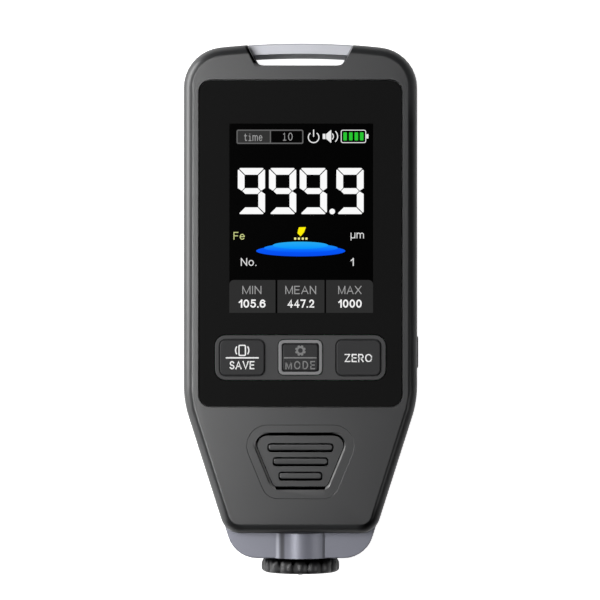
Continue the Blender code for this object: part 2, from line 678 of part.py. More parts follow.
def clear_bosses(plate):
    """Holes through a plate for the two upper screw bosses."""
    for i, (x, y) in enumerate(BOSSES[:2]):
        name = "%s_boss_hole_%d" % (plate.name, i)
        hole = cylinder_cutter(name, BOSS_RADIUS + FIT, BOARD_Z[0] - 1, MODULE_Z[0], x, y, 20)
        boolean(plate, hole)


def main_board():
    board = flat_solid("main_board", rounded_box(BOARD, 4.0, 5), *BOARD_Z, paint=BOARD_GREEN)
    clear_bosses(board)
    return board


def tact_switch(name, x, y):
    """A square tactile switch with its round plunger, standing on the main board."""
    low, half = BOARD_Z[1] + FIT, SWITCH_HALF
    box = (x - half, x + half, y - half, y + half)
    body = flat_solid(name, rounded_box(box, 0.4, 2), low, low + SWITCH_HEIGHT, paint=STEEL)
    plunger = cylinder_cutter(name + "_plunger", 1.1, low + 1, low + SWITCH_HEIGHT + 0.7, x, y, 18)
    return boolean(body, plunger, "UNION")


def power_switch():
    """A switch that lies on its side under the board, its plunger towards the side key."""
    long, wide, tall = POWER_SWITCH
    front, high = HALF_WIDTH - POWER_DEPTH - POWER_SWITCH_GAP, BOARD_Z[0] - FIT
    body = block("power_switch", front - long, front, POWER_Y - wide / 2, POWER_Y + wide / 2, high - tall, high,
                 paint=STEEL)
    half = 0.9
    plunger = block("power_plunger", front - half, front + half, POWER_Y - half, POWER_Y + half,
                    POWER_Z - half, POWER_Z + half, CUTTERS)
    return boolean(body, plunger, "UNION")


def under_board(thing, x, height):
    """Hang a turned piece of the given height under the board, beside the cells."""
    thing.matrix_world = Matrix.Translation((x * MM, HANG_Y * MM, (BOARD_Z[0] - FIT - height) * MM))
    return thing


def buzzer():
    """A round can with its sound hole in the middle of the underside."""
    radius, height, hole = 4.5, 3.0, 0.7
    profile = [(0, height), (radius, height), (radius, 0.3), (radius - 0.3, 0), (hole, 0), (hole, 1), (0, 1)]
    return under_board(turned("buzzer", profile, 20, paint=SLEEVE_BLACK), -HANG_X, height)


def vibration_motor():
    """A coin motor: a flat disc with broken edges."""
    radius, height = 4.0, 2.6
    edge = 0.2
    profile = [(0, height), (radius - edge, height), (radius, height - edge), (radius, edge),
               (radius - edge, 0), (0, 0)]
    return under_board(turned("vibration_motor", profile, 20, paint=STEEL), HANG_X, height)


def cell(name, side):
    """One AAA cell, its positive end towards +Y on the left and -Y on the right."""
    half, edge = CELL_LENGTH / 2, CELL_EDGE
    cap, top = CELL_CAP_RADIUS, half + CELL_CAP_HEIGHT
    profile = [(0, top), (cap - 0.2, top), (cap, top - 0.2), (cap, half), (CELL_RADIUS - edge, half),
               (CELL_RADIUS, half - edge), (CELL_RADIUS, edge - half), (CELL_RADIUS - edge, -half), (0, -half)]
    body = turned(name, profile, 20, paint=CELL_JACKET)
    flip = Matrix.Rotation(-math.pi / 2 if side < 0 else math.pi / 2, 4, "X")
    y = middle(BAY)[1] - side * CELL_SHIFT
    body.matrix_world = Matrix.Translation((side * CELL_X * MM, y * MM, CELL_Z * MM)) @ flip
    return body


def coil_spring(name, radius, wire, turns, length, paint):
    """A helix of round wire with closed flat ends, its axis along Z from 0 to the given length."""
    curve = bpy.data.curves.new(name, "CURVE")
    curve.dimensions = "3D"
    curve.bevel_depth = wire * MM
    curve.bevel_resolution = 1
    curve.use_fill_caps = True
    spline = curve.splines.new("POLY")
    count = int(turns * POINTS_PER_TURN)
    spline.points.add(count)
    for i, point in enumerate(spline.points):
        share = i / count
        angle = 2 * math.pi * turns * share
        rise = wire + (length - 2 * wire) * share
        point.co = (radius * math.cos(angle) * MM, radius * math.sin(angle) * MM, rise * MM, 1.0)
    drawn = bpy.data.objects.new(name + "_path", curve)
    bpy.context.scene.collection.objects.link(drawn)
    bpy.context.view_layer.update()
    graph = bpy.context.evaluated_depsgraph_get()
    mesh = bpy.data.meshes.new_from_object(drawn.evaluated_get(graph))
    bpy.data.objects.remove(drawn, do_unlink=True)
    weld(mesh)
    return pin_down(bpy.data.objects.new(name, mesh), paint)


def battery_contacts():
    """A spring against each cell's flat end and a tab against each positive end."""
    wide, thick, high = CELL_TAB
    made = []
    for side, name in ((-1, "left"), (1, "right")):
        spring_y, facing = (BAY[2] + FIT, -1) if side < 0 else (BAY[3] - FIT, 1)
        spring = coil_spring("cell_spring_" + name, 2.6, 0.28, 2.5, 2.1, SPRING_STEEL)
        turn = Matrix.Rotation(math.pi / 2 * facing, 4, "X")
        x = side * CELL_X
        spring.matrix_world = Matrix.Translation((x * MM, spring_y * MM, CELL_Z * MM)) @ turn
        tab_y = BAY[3] - FIT - thick if side < 0 else BAY[2] + FIT
        tab = block("cell_tab_" + name, x - wide / 2, x + wide / 2, tab_y, tab_y + thick,
                    CELL_Z - high / 2, CELL_Z + high / 2, paint=SPRING_STEEL)
        made += [spring, tab]
    return made


def housing_screw(name, x, y):
    """A self-tapping screw from the back: domed head in its well, shank up into the front boss."""
    low, high = HEAD_Z
    point = SCREW_RADIUS - 0.35
    profile = [(0, SCREW_TOP_Z), (point, SCREW_TOP_Z), (SCREW_RADIUS, SCREW_TOP_Z - 1), (SCREW_RADIUS, high),
               (HEAD_RADIUS, high), (HEAD_RADIUS, low + 0.4), (HEAD_RADIUS - 0.5, low), (0, low)]
    screw = turned(name, profile, 12, paint=STEEL)
    screw.matrix_world = Matrix.Translation((x * MM, y * MM, 0))
    for i, (across, along) in enumerate((DRIVE, DRIVE[::-1])):
        slot = block("%s_drive_%d" % (name, i), x - across, x + across, y - along, y + along,
                     low - 0.3, low + 0.6, CUTTERS)
        boolean(screw, slot)
    return screw


def lobed_ring(radius, depth):
    """Outline of the ring with convex lobes: the radius falls by the depth between two lobes."""
    count = SLEEVE_LOBES * 4
    points = []
    for i in range(count):
        angle = 2 * math.pi * i / count
        reach = radius - depth * (1 - abs(math.cos(SLEEVE_LOBES * angle / 2)))
        points.append((reach * math.cos(angle), reach * math.sin(angle)))
    return points


def probe_sleeve():
    """The scalloped ring under the nose, with a spigot in the barrel and a small hole for the tip."""
    height = NOSE_END_Y - FIT - SLEEVE_END_Y
    stations = [(z, lobed_ring(SLEEVE_RADIUS - inset, depth)) for z, inset, depth in SLEEVE_STATIONS]
    stations.append((height, lobed_ring(SLEEVE_RADIUS - SLEEVE_NECK, 0.0)))
    sleeve = loft("probe_sleeve", stations, paint=SLEEVE_BLACK)
    top = height + SPIGOT_LENGTH
    spigot = cylinder_cutter("sleeve_spigot", SEAT_RADIUS - FIT, height - 0.5, top, sides=36)
    boolean(sleeve, spigot, "UNION")
    boolean(sleeve, cylinder_cutter("sleeve_bore", BORE_RADIUS, SLEEVE_FLOOR, top + 1, sides=32))
    boolean(sleeve, cylinder_cutter("sleeve_hole", TIP_RADIUS + FIT, -1, 2, sides=20))
    lay_down = Matrix.Translation((0, SLEEVE_END_Y * MM, AXIS_Z * MM)) @ Matrix.Rotation(-math.pi / 2, 4, "X")
    carry([sleeve] + [step.object for step in sleeve.modifiers if step.type == "BOOLEAN"], lay_down)
    return sleeve


def probe_tip():
    """The hard contact point: a dome on a shank with a small collar behind the sleeve's hole."""
    dome = [(TIP_RADIUS * math.sin(a), TIP_RADIUS * (1 - math.cos(a))) for a in np.linspace(math.pi / 2, 0, 6)]
    collar_y = SLEEVE_END_Y + SLEEVE_FLOOR + FIT - TIP_Y
    back = collar_y + COLLAR
    profile = [(0, back), (COLLAR_RADIUS, back), (COLLAR_RADIUS, collar_y), (TIP_RADIUS, collar_y)] + dome
    return along_probe(turned("probe_tip", profile, 18, paint=STEEL), TIP_Y)


def probe_inner():
    """Core, bobbin, winding, return spring and end cap, one behind the other in the tube."""
    start = SLEEVE_END_Y + SLEEVE_FLOOR + FIT + COLLAR + FIT
    core = turned("probe_core", [(0, CORE_LENGTH), (CORE_RADIUS, CORE_LENGTH), (CORE_RADIUS, 0), (0, 0)], 20,
                  paint=STEEL)
    outer, waist, bore = BORE_RADIUS - 0.4, BOBBIN_WAIST, CORE_RADIUS + FIT
    near, far = BOBBIN_FLANGE, BOBBIN_LENGTH - BOBBIN_FLANGE
    spool = [(outer, BOBBIN_LENGTH), (outer, far), (waist, far), (waist, near), (outer, near), (outer, 0),
             (bore, 0), (bore, BOBBIN_LENGTH)]
    bobbin = turned("probe_bobbin", spool, 20, paint=HOLDER_WHITE)
    wide, narrow, low, high = outer - 0.4, waist + FIT, near + FIT, far - FIT
    coil = turned("probe_coil", [(wide, high), (wide, low), (narrow, low), (narrow, high)], 20, paint=COPPER)
    for piece in (core, bobbin, coil):
        along_probe(piece, start)
    spring_y = start + BOBBIN_LENGTH + FIT
    cap_y = TUBE_START_Y - CAP_LENGTH - FIT
    spring = coil_spring("probe_spring", 3.5, 0.3, 5, cap_y - FIT - spring_y, SPRING_STEEL)
    along_probe(spring, spring_y)
    rim, hole = BORE_RADIUS - FIT, 1.2
    ring = [(rim, CAP_LENGTH), (rim, 0), (hole, 0), (hole, CAP_LENGTH)]
    cap = turned("probe_end_cap", ring, 20, paint=SLEEVE_BLACK)
    along_probe(cap, cap_y)
    return [core, bobbin, coil, spring, cap]


def round_off_normals():
    """Smooth shading on every piece, with a hard line where two faces meet at over 35 degrees."""
    for thing in PARTS.objects:
        thing.data.shade_smooth()
        thing.data.set_sharp_from_angle(angle=math.radians(35))


def build():
    front_shell()
    mid_frame()
    rear_shell()
    display_window()
    key_panel()
    mode_ring()
    press_key("save_button", SAVE_KEY, KEY_CORNER)
    press_key("mode_button", mode_key_box(), KEY_CORNER - 0.6)
    press_key("zero_button", ZERO_KEY, KEY_CORNER)
    power_button()
    battery_door()
    screen_parts()
    main_board()
    for name, box in (("save_switch", SAVE_KEY), ("mode_switch", MODE_RING), ("zero_switch", ZERO_KEY)):
        tact_switch(name, *middle(box))
    power_switch()
    buzzer()
    vibration_motor()
    cell("cell_left", -1)
    cell("cell_right", 1)
    battery_contacts()
    for i, (x, y) in enumerate(BOSSES):
        housing_screw("housing_screw_%d" % (i + 1), x, y)
    probe_sleeve()
    probe_tip()
    probe_inner()
    round_off_normals()
    bpy.context.view_layer.update()


build()
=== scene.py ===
"""Looks for the coating thickness gauge: finishes, the lit screen, key legends, floor, light and camera.

Lengths are written in millimetres and multiplied by MM where a mesh, a lamp or a finish is made.
A box is written as left, right, foot, top. A fade is two places, from where a share is 0 to where it is 1.
The gauge lies on its back: X to the right, +Y towards the strap bar, +Z out of the display.
"""
import json
import math

import bmesh
import bpy
import numpy as np
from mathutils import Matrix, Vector

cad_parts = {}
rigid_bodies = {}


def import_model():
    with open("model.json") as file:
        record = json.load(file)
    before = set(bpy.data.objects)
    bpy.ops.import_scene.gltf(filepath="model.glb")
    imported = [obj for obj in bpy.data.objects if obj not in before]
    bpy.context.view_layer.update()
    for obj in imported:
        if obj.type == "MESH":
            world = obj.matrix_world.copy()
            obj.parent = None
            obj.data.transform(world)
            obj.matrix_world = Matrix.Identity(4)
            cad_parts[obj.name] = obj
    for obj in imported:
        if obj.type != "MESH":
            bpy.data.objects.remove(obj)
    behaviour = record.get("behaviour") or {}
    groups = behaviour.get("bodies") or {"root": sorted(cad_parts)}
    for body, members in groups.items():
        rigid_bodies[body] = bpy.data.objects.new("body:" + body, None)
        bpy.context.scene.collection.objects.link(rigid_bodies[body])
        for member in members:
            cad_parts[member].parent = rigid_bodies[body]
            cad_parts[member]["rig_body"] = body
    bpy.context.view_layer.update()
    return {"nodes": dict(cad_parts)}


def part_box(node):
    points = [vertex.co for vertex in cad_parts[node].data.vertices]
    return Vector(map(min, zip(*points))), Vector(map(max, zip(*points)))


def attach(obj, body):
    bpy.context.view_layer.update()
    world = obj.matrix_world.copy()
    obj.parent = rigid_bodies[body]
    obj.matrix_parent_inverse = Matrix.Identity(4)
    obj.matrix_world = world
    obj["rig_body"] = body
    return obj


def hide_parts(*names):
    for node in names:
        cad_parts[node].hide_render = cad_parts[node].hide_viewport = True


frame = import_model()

MM = 0.001
HOUSING = "housing"
WINDOW_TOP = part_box("display_window")[1].z / MM
KEY_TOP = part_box("save_button")[1].z / MM
FRONT_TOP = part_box("front_shell")[1].z / MM
PRINT = 0.03  # thickness of printed and lit marks
MITRE = 1.5  # longest corner of a stroke, in half widths

# Screen

SCREEN = (-15.25, 15.59, -0.51, 40.13)
TILE_FOOT, TILE_TOP = -0.49, 6.56
TILE_SIDES = ((-15.25, -5.36), (-4.93, 5.15), (5.51, 15.59))
TILE_CORNER, TILE_EDGE = 0.95, 0.05
STATUS_BOX = (-13.71, 0.64, 35.76, 38.82)
STATUS_SPLIT, STATUS_LINE = -6.44, 0.26
SIGN_PEN = 0.22
POWER_SIGN, POWER_RADIUS, POWER_BAR = (2.83, 37.17), 1.14, (0.12, 1.66)
SPEAKER_BLOCK = (4.78, 5.38, 36.80, 37.92)
SPEAKER_HORN = ((5.52, 36.85), (6.55, 35.98), (6.62, 36.05), (6.62, 38.67), (6.55, 38.74), (5.52, 37.88))
SPEAKER_MIDDLE = (6.2, 37.36)
SPEAKER_WAVES = ((0.88, 0.88, 45), (1.78, 1.62, 44))  # half width, half height, half the angle in degrees
BATTERY, BATTERY_WALL = (8.67, 14.09, 35.95, 38.78), 0.16
BATTERY_CAP = (0.04, 0.50, 36.91, 37.84)  # its left and right are counted from the battery's right
BATTERY_BARS = (9.59, 10.81, 11.99, 13.15)  # the middle of each bar
BATTERY_BAR = (-0.38, 0.38, 36.50, 38.23)  # its left and right are counted from the bar's middle
DIGIT_FOOT, DIGIT_TOP = 20.70, 30.59
DIGIT_LEFTS = (-13.43, -6.74, -0.15, 7.72)
DIGIT_WIDTH = 5.84
DIGIT_STROKE = 1.44
DIGIT_CORNER = 0.50
DIGIT_GAP = 0.14
DIGIT_TIP = 0.84
DIGIT_CROSSBAR = 1.24
POINT = (6.82, 21.26, 0.60)  # X, Y, radius
FILMS = ((0.07, 12.80, 9.56, 1.17), (0.10, 13.42, 7.92, 0.90), (0.01, 14.01, 5.94, 0.77))  # X, Y, half sizes
FILM_TONES = (((0, 76, 238), (0, 92, 255)), ((0, 96, 255), (20, 146, 252)), ((0, 150, 255), (36, 170, 240)))
MARKER = ((-0.32, 17.87), (1.18, 17.91), (0.79, 16.82), (0.04, 15.92), (-0.64, 16.60), (-0.51, 17.25))
MARKER_DOTS = (-1.12, -0.32, 0.51, 1.29)
MARKER_DOTS_Y, MARKER_DOT = 15.44, 0.23

# Words on the screen: the piece, its light, its tone, how many prints it reaches over the glass, and each
# word's letters, left, right, foot, top, weight and gap

SCREEN_WORDS = (
    ("tile_words", "word_grey", (158, 158, 158), 2, (
        ("MIN", -12.46, -8.37, 3.54, 5.30, 0.19, 0.17), ("MEAN", -3.24, 3.37, 3.54, 5.30, 0.19, 0.17),
        ("MAX", 8.11, 13.11, 3.54, 5.30, 0.19, 0.17))),
    ("tile_values", "value_white", (248, 248, 248), 2, (
        ("105.6", -13.26, -7.49, 0.62, 2.38, 0.31, 0.12), ("447.2", -2.79, 2.96, 0.62, 2.38, 0.31, 0.12),
        ("1000", 8.11, 13.15, 0.62, 2.38, 0.31, 0.12))),
    ("side_words", "side_white", (225, 225, 225), 1, (
        ("No.", -12.78, -9.40, 9.59, 11.28, 0.20, 0.17), ("1", 10.75, 11.45, 9.59, 11.28, 0.23, 0.17),
        ("\u00b5m", 10.77, 13.62, 15.49, 17.12, 0.18, 0.17))),
    ("metal_word", "metal_yellow", (205, 212, 140), 1, (("Fe", -14.35, -11.95, 15.21, 16.86, 0.18, 0.17),)),
    ("time_words", "time_grey", (160, 160, 160), 2, (
        (("typed t", "typed i", "m", "e"), -12.06, -8.17, 36.38, 38.05, 0.15, 0.2),
        (("typed 1", "0"), -3.73, -1.69, 36.48, 38.15, 0.15, 0.3))),
)

# Grip pad: its upper and lower edge, its half width at the top and how fast that shrinks, the heights of its
# dish and of its ribs' rounded tops over its floor, and the fades of the lines of painted shade along its
# edges and of the painted highlight on its side walls

PAD_TOP_Y, PAD_END_Y, PAD_FLOOR_Z = -26.4, -38.5, 24.45
PAD_HALF, PAD_LEAN, PAD_SIDE = 11.0, 0.415, 0.8
PAD_DISH_RISE, PAD_RIB_RISE, PAD_DEPTH = 0.40, 0.47, 0.6
RIBS_Y, RIBS_REACH = -32.4, 4.0
EDGE_LINE_OFF = 0.06
UPPER_LINE, UPPER_LINE_X = (0.24, 0.14), (8.4, 6.8)
LEFT_LINE, LEFT_LINE_TOP, LEFT_LINE_FOOT, LEFT_LINE_SHARE = (0.20, 0.10), (-28.2, -29.6), (-37.6, -36.8), 0.8
# The painted highlight on the pad's side walls: its fade along Y and its colour
PAINTED_HIGHLIGHT_Y, PAINTED_HIGHLIGHT_COLOUR = (-27.8, -29.5), (0.14, 0.14, 0.14)

# Strips of painted shade on the front shell: fades and shares. The notch's left wall is given by one of its
# points, and by how fast it leans towards the middle as Y falls.

NOTCH_WALL, NOTCH_SLANT = (-11.35, 56.8), 0.489
NOTCH_STRIP, NOTCH_Y = (0.75, 0.50), (52.2, 53.2)
SHELL_FOOT_Z = 17.0
END_FILLET_Y, END_FILLET_SHARE = (-46.5, -47.7), 0.6
ROUND_EDGE_Z, FACE_EDGE_Z = (23.4, 24.7), (24.99, 24.92)
ROUND_EDGE_X = (12.0, 14.0)
RIGHT_EDGE_Y, RIGHT_EDGE_SHARE = (46.0, 40.0), 0.5
CORNERS_Y, CORNERS_SHARE = (-41.0, -44.0), 0.3

# Middle frame: fades of the painted highlight on the strap bar, the nose's upper end, and the lines of
# painted highlight and painted shade along the barrel's feet on the nose as X, half width, share and colour

BAR_Y, BAR_HIGHLIGHT_X = (51.8, 53.0), (11.6, 21.0)
NOSE_Y = -40.0
BARREL_FOOT_PAINTED_LIGHT = ((-4.93, 0.42, 0.35, (0.42, 0.43, 0.47)), (-3.95, 0.75, 0.85, (0.03, 0.03, 0.035)),
              (5.0, 0.35, 0.55, (0.03, 0.03, 0.035)))

# Probe ring: its outside as height over the end face, inset and lobe depth, its inside as height and radius,
# the fades of the painted shadow on its neck and of its end face, and how wide and how dark the painted shade
# in its valleys is

RING_AXIS_Z, RING_END_Y, RING_RADIUS = 12.5, -57.0, 8.5
RING_LOBES, RING_SPOKES = 16, 192
RING_STATIONS = ((0.0, 0.70, 0.05), (0.08, 0.46, 0.14), (0.25, 0.22, 0.28), (0.5, 0.06, 0.37),
                 (0.8, 0.0, 0.42), (1.5, 0.0, 0.42), (1.9, 0.03, 0.38), (2.2, 0.12, 0.28),
                 (2.5, 0.28, 0.16), (2.8, 0.45, 0.07), (3.05, 0.75, 0.0))
RING_INSIDE = ((3.05, 6.2), (5.65, 6.2), (5.65, 5.0), (0.8, 5.0), (0.8, 1.2), (0.0, 1.2))
RING_NECK_Y, RING_FACE_Y = (-55.8, -54.0), (-56.95, -56.6)
VALLEY_WIDTH, VALLEY_SHARE = 0.65, 0.65

# Keys: each box with its corner radius, how far the mat stands off a key inside and outside with its two
# heights, and the legends

KEY_BOXES = ((-17.25, -7.75, -13.88, -6.32, 1.2), (-3.76, 3.76, -12.89, -7.22, 0.3),
             (7.75, 17.15, -13.88, -6.34, 1.2))
KEY_MAT = (0.03, 0.23, 24.3, 24.55)
SIGN_MIDDLE, SIGN_HALF, SIGN_WALL, SIGN_WAVE = (-12.48, -8.53), (0.82, 1.22), 0.27, (1.42, 36)
GEAR_MIDDLE, GEAR_RADIUS, GEAR_BORE, GEAR_POINTS = (0.0, -8.56), 1.16, 0.5, 96
RULE_Y = -10.13
SAVE_RULE, MODE_RULE = (-16.0, -8.92, 0.30), (-3.52, 3.47, 0.28)  # left, right, width
SAVE_WORD = ("SAVE", -15.19, -9.87, -12.59, -10.81, 0.27)  # letters, left, right, foot, top, weight
MODE_WORD = ("MODE", -3.22, 3.13, -12.59, -10.81, 0.25)
ZERO_WORD = ("ZERO", 9.48, 15.38, -11.05, -9.29, 0.27)


def tone(red, green, blue):
    """A screen colour from 0 to 255 as the linear numbers that a shader takes."""
    shares = [c / 255 for c in (red, green, blue)]
    return tuple(s / 12.92 if s <= 0.04045 else ((s + 0.055) / 1.055) ** 2.4 for s in shares)


# Shader maths

class Sock:
    """A node's output, with arithmetic that adds Math nodes."""

    def __init__(self, paint, link):
        self.paint, self.link = paint, link

    def _math(self, operation, *others):
        return self.paint.node("ShaderNodeMath", {"operation": operation}, dict(enumerate((self, *others))))

    def __add__(self, other):
        return self._math("ADD", other)

    def __radd__(self, other):
        return self + other

    def __sub__(self, other):
        return self._math("SUBTRACT", other)

    def __rsub__(self, other):
        return self * -1.0 + other

    def __mul__(self, other):
        return self._math("MULTIPLY", other)

    def below(self, edge):
        return self._math("LESS_THAN", edge)

    def size(self):
        return self._math("ABSOLUTE")

    def cosine(self):
        return self._math("COSINE")

    def at_most(self, limit):
        return self._math("MINIMUM", limit)

    def larger(self, other):
        return self._math("MAXIMUM", other)

    def angle_to(self, other):
        """The angle whose tangent is this over the other."""
        return self._math("ARCTAN2", other)

    def ramp(self, low, high):
        """0 at low, 1 at high, even between them and level beyond."""
        inputs = {"Value": self, "From Min": low, "From Max": high}
        return self.paint.node("ShaderNodeMapRange", inputs=inputs)

    def fade(self, low, high):
        """A ramp between two places in millimetres."""
        return self.ramp(low * MM, high * MM)


class Paint:
    """One material being written: a Principled shader and the nodes that feed it."""

    def __init__(self, name, colour, roughness, metallic=0.0, specular=0.5, coat=0.0, coat_roughness=0.1):
        self.material = bpy.data.materials.new(name)
        self.material.use_nodes = True
        self.tree = self.material.node_tree
        self.shader = self.tree.nodes["Principled BSDF"]
        self.set("Base Color", (*colour, 1.0))
        self.set("Roughness", roughness)
        self.set("Metallic", metallic)
        self.set("Specular IOR Level", specular)
        self.set("Coat Weight", coat)
        self.set("Coat Roughness", coat_roughness)

    def set(self, name, value):
        """Give the shader's own socket a constant or a link."""
        self._feed(self.shader.inputs[name], value)

    def _feed(self, socket, value):
        if isinstance(value, Sock):
            self.tree.links.new(value.link, socket)
        else:
            socket.default_value = value

    def node(self, kind, settings=None, inputs=None, output=0):
        """Any node: its settings first, then its sockets' values or links."""
        made = self.tree.nodes.new(kind)
        for name, value in (settings or {}).items():
            if name == "stops":
                self._ramp(made.color_ramp, value)
            else:
                setattr(made, name, value)
        for key, value in (inputs or {}).items():
            self._feed(made.inputs[key], value)
        return Sock(self, made.outputs[output])

    @staticmethod
    def _ramp(ramp, stops):
        while len(ramp.elements) < len(stops):
            ramp.elements.new(0.5)
        for element, (place, colour) in zip(ramp.elements, stops):
            element.position = place
            element.color = (*colour, 1.0)

    def place(self):
        """The surface point in the object's own metres, as a vector."""
        return self.node("ShaderNodeTexCoord", output="Object")

    def axis(self, name):
        return self.node("ShaderNodeSeparateXYZ", inputs={"Vector": self.place()}, output=name)

    def noise(self, scale, detail=2.0, roughness=0.5):
        inputs = {"Vector": self.place(), "Scale": scale, "Detail": detail, "Roughness": roughness}
        return self.node("ShaderNodeTexNoise", inputs=inputs, output="Fac")

    def mix(self, share, first, second):
        """A colour between two others."""
        first, second = (c if isinstance(c, Sock) else (*c, 1.0) for c in (first, second))
        return self.node("ShaderNodeMix", {"data_type": "RGBA"}, {0: share, 6: first, 7: second}, 2)

    def bump(self, height, strength, distance):
        self.set("Normal", self.node("ShaderNodeBump", inputs={
            "Height": height, "Strength": strength, "Distance": distance}))


# Finishes

def moulded(name, colour, roughness, grain=4200.0, depth=0.000006, spread=0.05, strength=0.3, shade=None,
            glint=None, **more):
    """Moulded plastic: a fine eroded grain, and a slow drift in tone and in gloss.
    shade is a function of the paint that gives the share of painted shade, as black, for grooves that light
    hardly reaches and other shaded strips. There the plastic goes over to a black metal, which has no gloss
    either. glint is another such function, and gives the share of a painted highlight, as paler plastic, on
    narrow walls that catch the light."""
    paint = Paint(name, colour, roughness, **more)
    fine = paint.noise(grain, 3.0, 0.6)
    slow = paint.noise(55.0)
    darker = tuple(c * (1 - spread) for c in colour)
    lighter = tuple(c * (1 + spread) for c in colour)
    base = paint.mix(slow * 0.5 + fine * 0.5, darker, lighter)
    if glint:
        base = paint.mix(glint(paint), base, PAINTED_HIGHLIGHT_COLOUR)
    if shade:
        share = shade(paint)
        base = paint.mix(share, base, (0.0, 0.0, 0.0))
        paint.set("Metallic", share)
    paint.set("Base Color", base)
    paint.set("Roughness", roughness - 0.03 + fine * 0.04 + slow * 0.02)
    paint.bump(fine, strength, depth)
    return paint.material


def shell_painted_shade(paint):
    """Share of painted shade, as black, on the front shell: the grip pad's grooves, the notch's left wall,
    the foot of the end fillet, and the rounded edge at the right and at the two lower corners."""
    x, y, z = (paint.axis(name) for name in "XYZ")
    off_wall = (x - NOTCH_WALL[0] * MM + (y - NOTCH_WALL[1] * MM) * NOTCH_SLANT).size()
    notch = off_wall.fade(*NOTCH_STRIP) * y.fade(*NOTCH_Y)
    end = y.fade(*END_FILLET_Y) * END_FILLET_SHARE
    in_front = (SHELL_FOOT_Z * MM - z).below(0.0)
    rounded = z.fade(*ROUND_EDGE_Z) * z.fade(*FACE_EDGE_Z)
    right = rounded * x.fade(*ROUND_EDGE_X) * y.fade(*RIGHT_EDGE_Y) * RIGHT_EDGE_SHARE
    corners = rounded * x.size().fade(*ROUND_EDGE_X) * y.fade(*CORNERS_Y) * CORNERS_SHARE
    return (grip_pad_painted_shade(paint) + in_front * (notch + end) + right + corners).at_most(1.0)


def grip_pad(paint):
    """Shares inside the grip pad: 1 in its grooves, 1 between its floor and its dished rim, 1 between its
    floor and the rounded tops of its ribs, and 1 away from its slanting sides. reach is the distance from the
    middle, counted as if those sides were upright."""
    x, y, z = (paint.axis(name) for name in "XYZ")
    reach = x.size() - (y - PAD_TOP_Y * MM) * PAD_LEAN
    under = PAD_FLOOR_Z * MM - z
    within = reach.below((PAD_HALF + 0.3) * MM) * y.below((PAD_TOP_Y + 0.1) * MM)
    within = within * (PAD_END_Y * MM - y).below(0.1 * MM) * under.below(PAD_DEPTH * MM)
    groove = within * z.below((PAD_FLOOR_Z - 0.04) * MM)
    over_floor = within * under.below(-0.02 * MM)
    wall = over_floor * z.below((PAD_FLOOR_Z + PAD_DISH_RISE) * MM)
    by_ribs = (y - RIBS_Y * MM).size().below(RIBS_REACH * MM)
    rib = over_floor * z.below((PAD_FLOOR_Z + PAD_RIB_RISE) * MM) * by_ribs
    return groove, wall, rib, reach.below((PAD_HALF - PAD_SIDE) * MM)


def grip_pad_painted_shade(paint):
    """Painted shade, as black, in the grip pad's grooves, on the flanks of its ribs, on its end walls and
    along its upper and left edge."""
    groove, wall, rib, inner = grip_pad(paint)
    x, y = paint.axis("X"), paint.axis("Y")
    upper = (y - (PAD_TOP_Y + EDGE_LINE_OFF) * MM).size().fade(*UPPER_LINE) * x.size().fade(*UPPER_LINE_X)
    reach = x * -1.0 - (y - PAD_TOP_Y * MM) * PAD_LEAN
    left = (reach - (PAD_HALF + EDGE_LINE_OFF) * MM).size().fade(*LEFT_LINE)
    left = left * y.fade(*LEFT_LINE_TOP) * y.fade(*LEFT_LINE_FOOT) * LEFT_LINE_SHARE
    front = ((FRONT_TOP - PAD_DEPTH) * MM - paint.axis("Z")).below(0.0)
    return groove + wall.larger(rib) * inner + front * (upper + left)


def grip_pad_painted_highlight(paint):
    """A painted highlight, paler, on the pad's slanting side walls, but for their upper corners."""
    wall, inner = grip_pad(paint)[1::2]
    return wall * (1.0 - inner) * paint.axis("Y").fade(*PAINTED_HIGHLIGHT_Y)


def ring_painted_shade(paint):
    """Share of painted shade, as black, on the probe ring: a painted shadow of 1 on the neck, close under the
    nose, part of it between two lobes and none on the end face."""
    around = paint.axis("X").angle_to(paint.axis("Z") - RING_AXIS_Z * MM)
    valley = (around * (RING_LOBES / 2)).cosine().size().ramp(VALLEY_WIDTH, 0.0) * VALLEY_SHARE
    height = paint.axis("Y")
    return (height.fade(*RING_NECK_Y) + valley * height.fade(*RING_FACE_Y)).at_most(1.0)


def frame_lacquer():
    """Lavender-grey metallic lacquer: fine flakes under a satin clear coat, with a painted highlight that
    makes the strap bar paler, most over its middle. Along the barrel's two feet on the nose runs a line of
    painted shade, and outside the left one a line of painted highlight."""
    base, bar_highlight, roughness = (0.168, 0.172, 0.206), (0.43, 0.435, 0.47), 0.38
    paint = Paint("frame_lacquer", base, roughness, metallic=0.3, coat=0.05, coat_roughness=0.25)
    flakes = paint.noise(9000.0, 1.0)
    drift = paint.noise(70.0)
    # Painted highlight along the strap bar.
    on_bar = paint.axis("Y").fade(*BAR_Y) * (1.0 - paint.axis("X").size().fade(*BAR_HIGHLIGHT_X))
    lacquer = paint.mix(flakes, tuple(c * 0.92 for c in base), tuple(c * 1.08 for c in base))
    across, on_nose = paint.axis("X"), paint.axis("Y").below(NOSE_Y * MM)
    # Lines of painted highlight and painted shade along the barrel's feet.
    for middle, reach, share, colour in BARREL_FOOT_PAINTED_LIGHT:
        line = (across - middle * MM).size().fade(reach, reach * 0.3) * on_nose * share
        lacquer = paint.mix(line, lacquer, colour)
    paint.set("Base Color", paint.mix(on_bar, lacquer, bar_highlight))
    paint.set("Roughness", roughness - 0.03 + drift * 0.06)
    paint.bump(flakes, 0.12, 0.000003)
    return paint.material


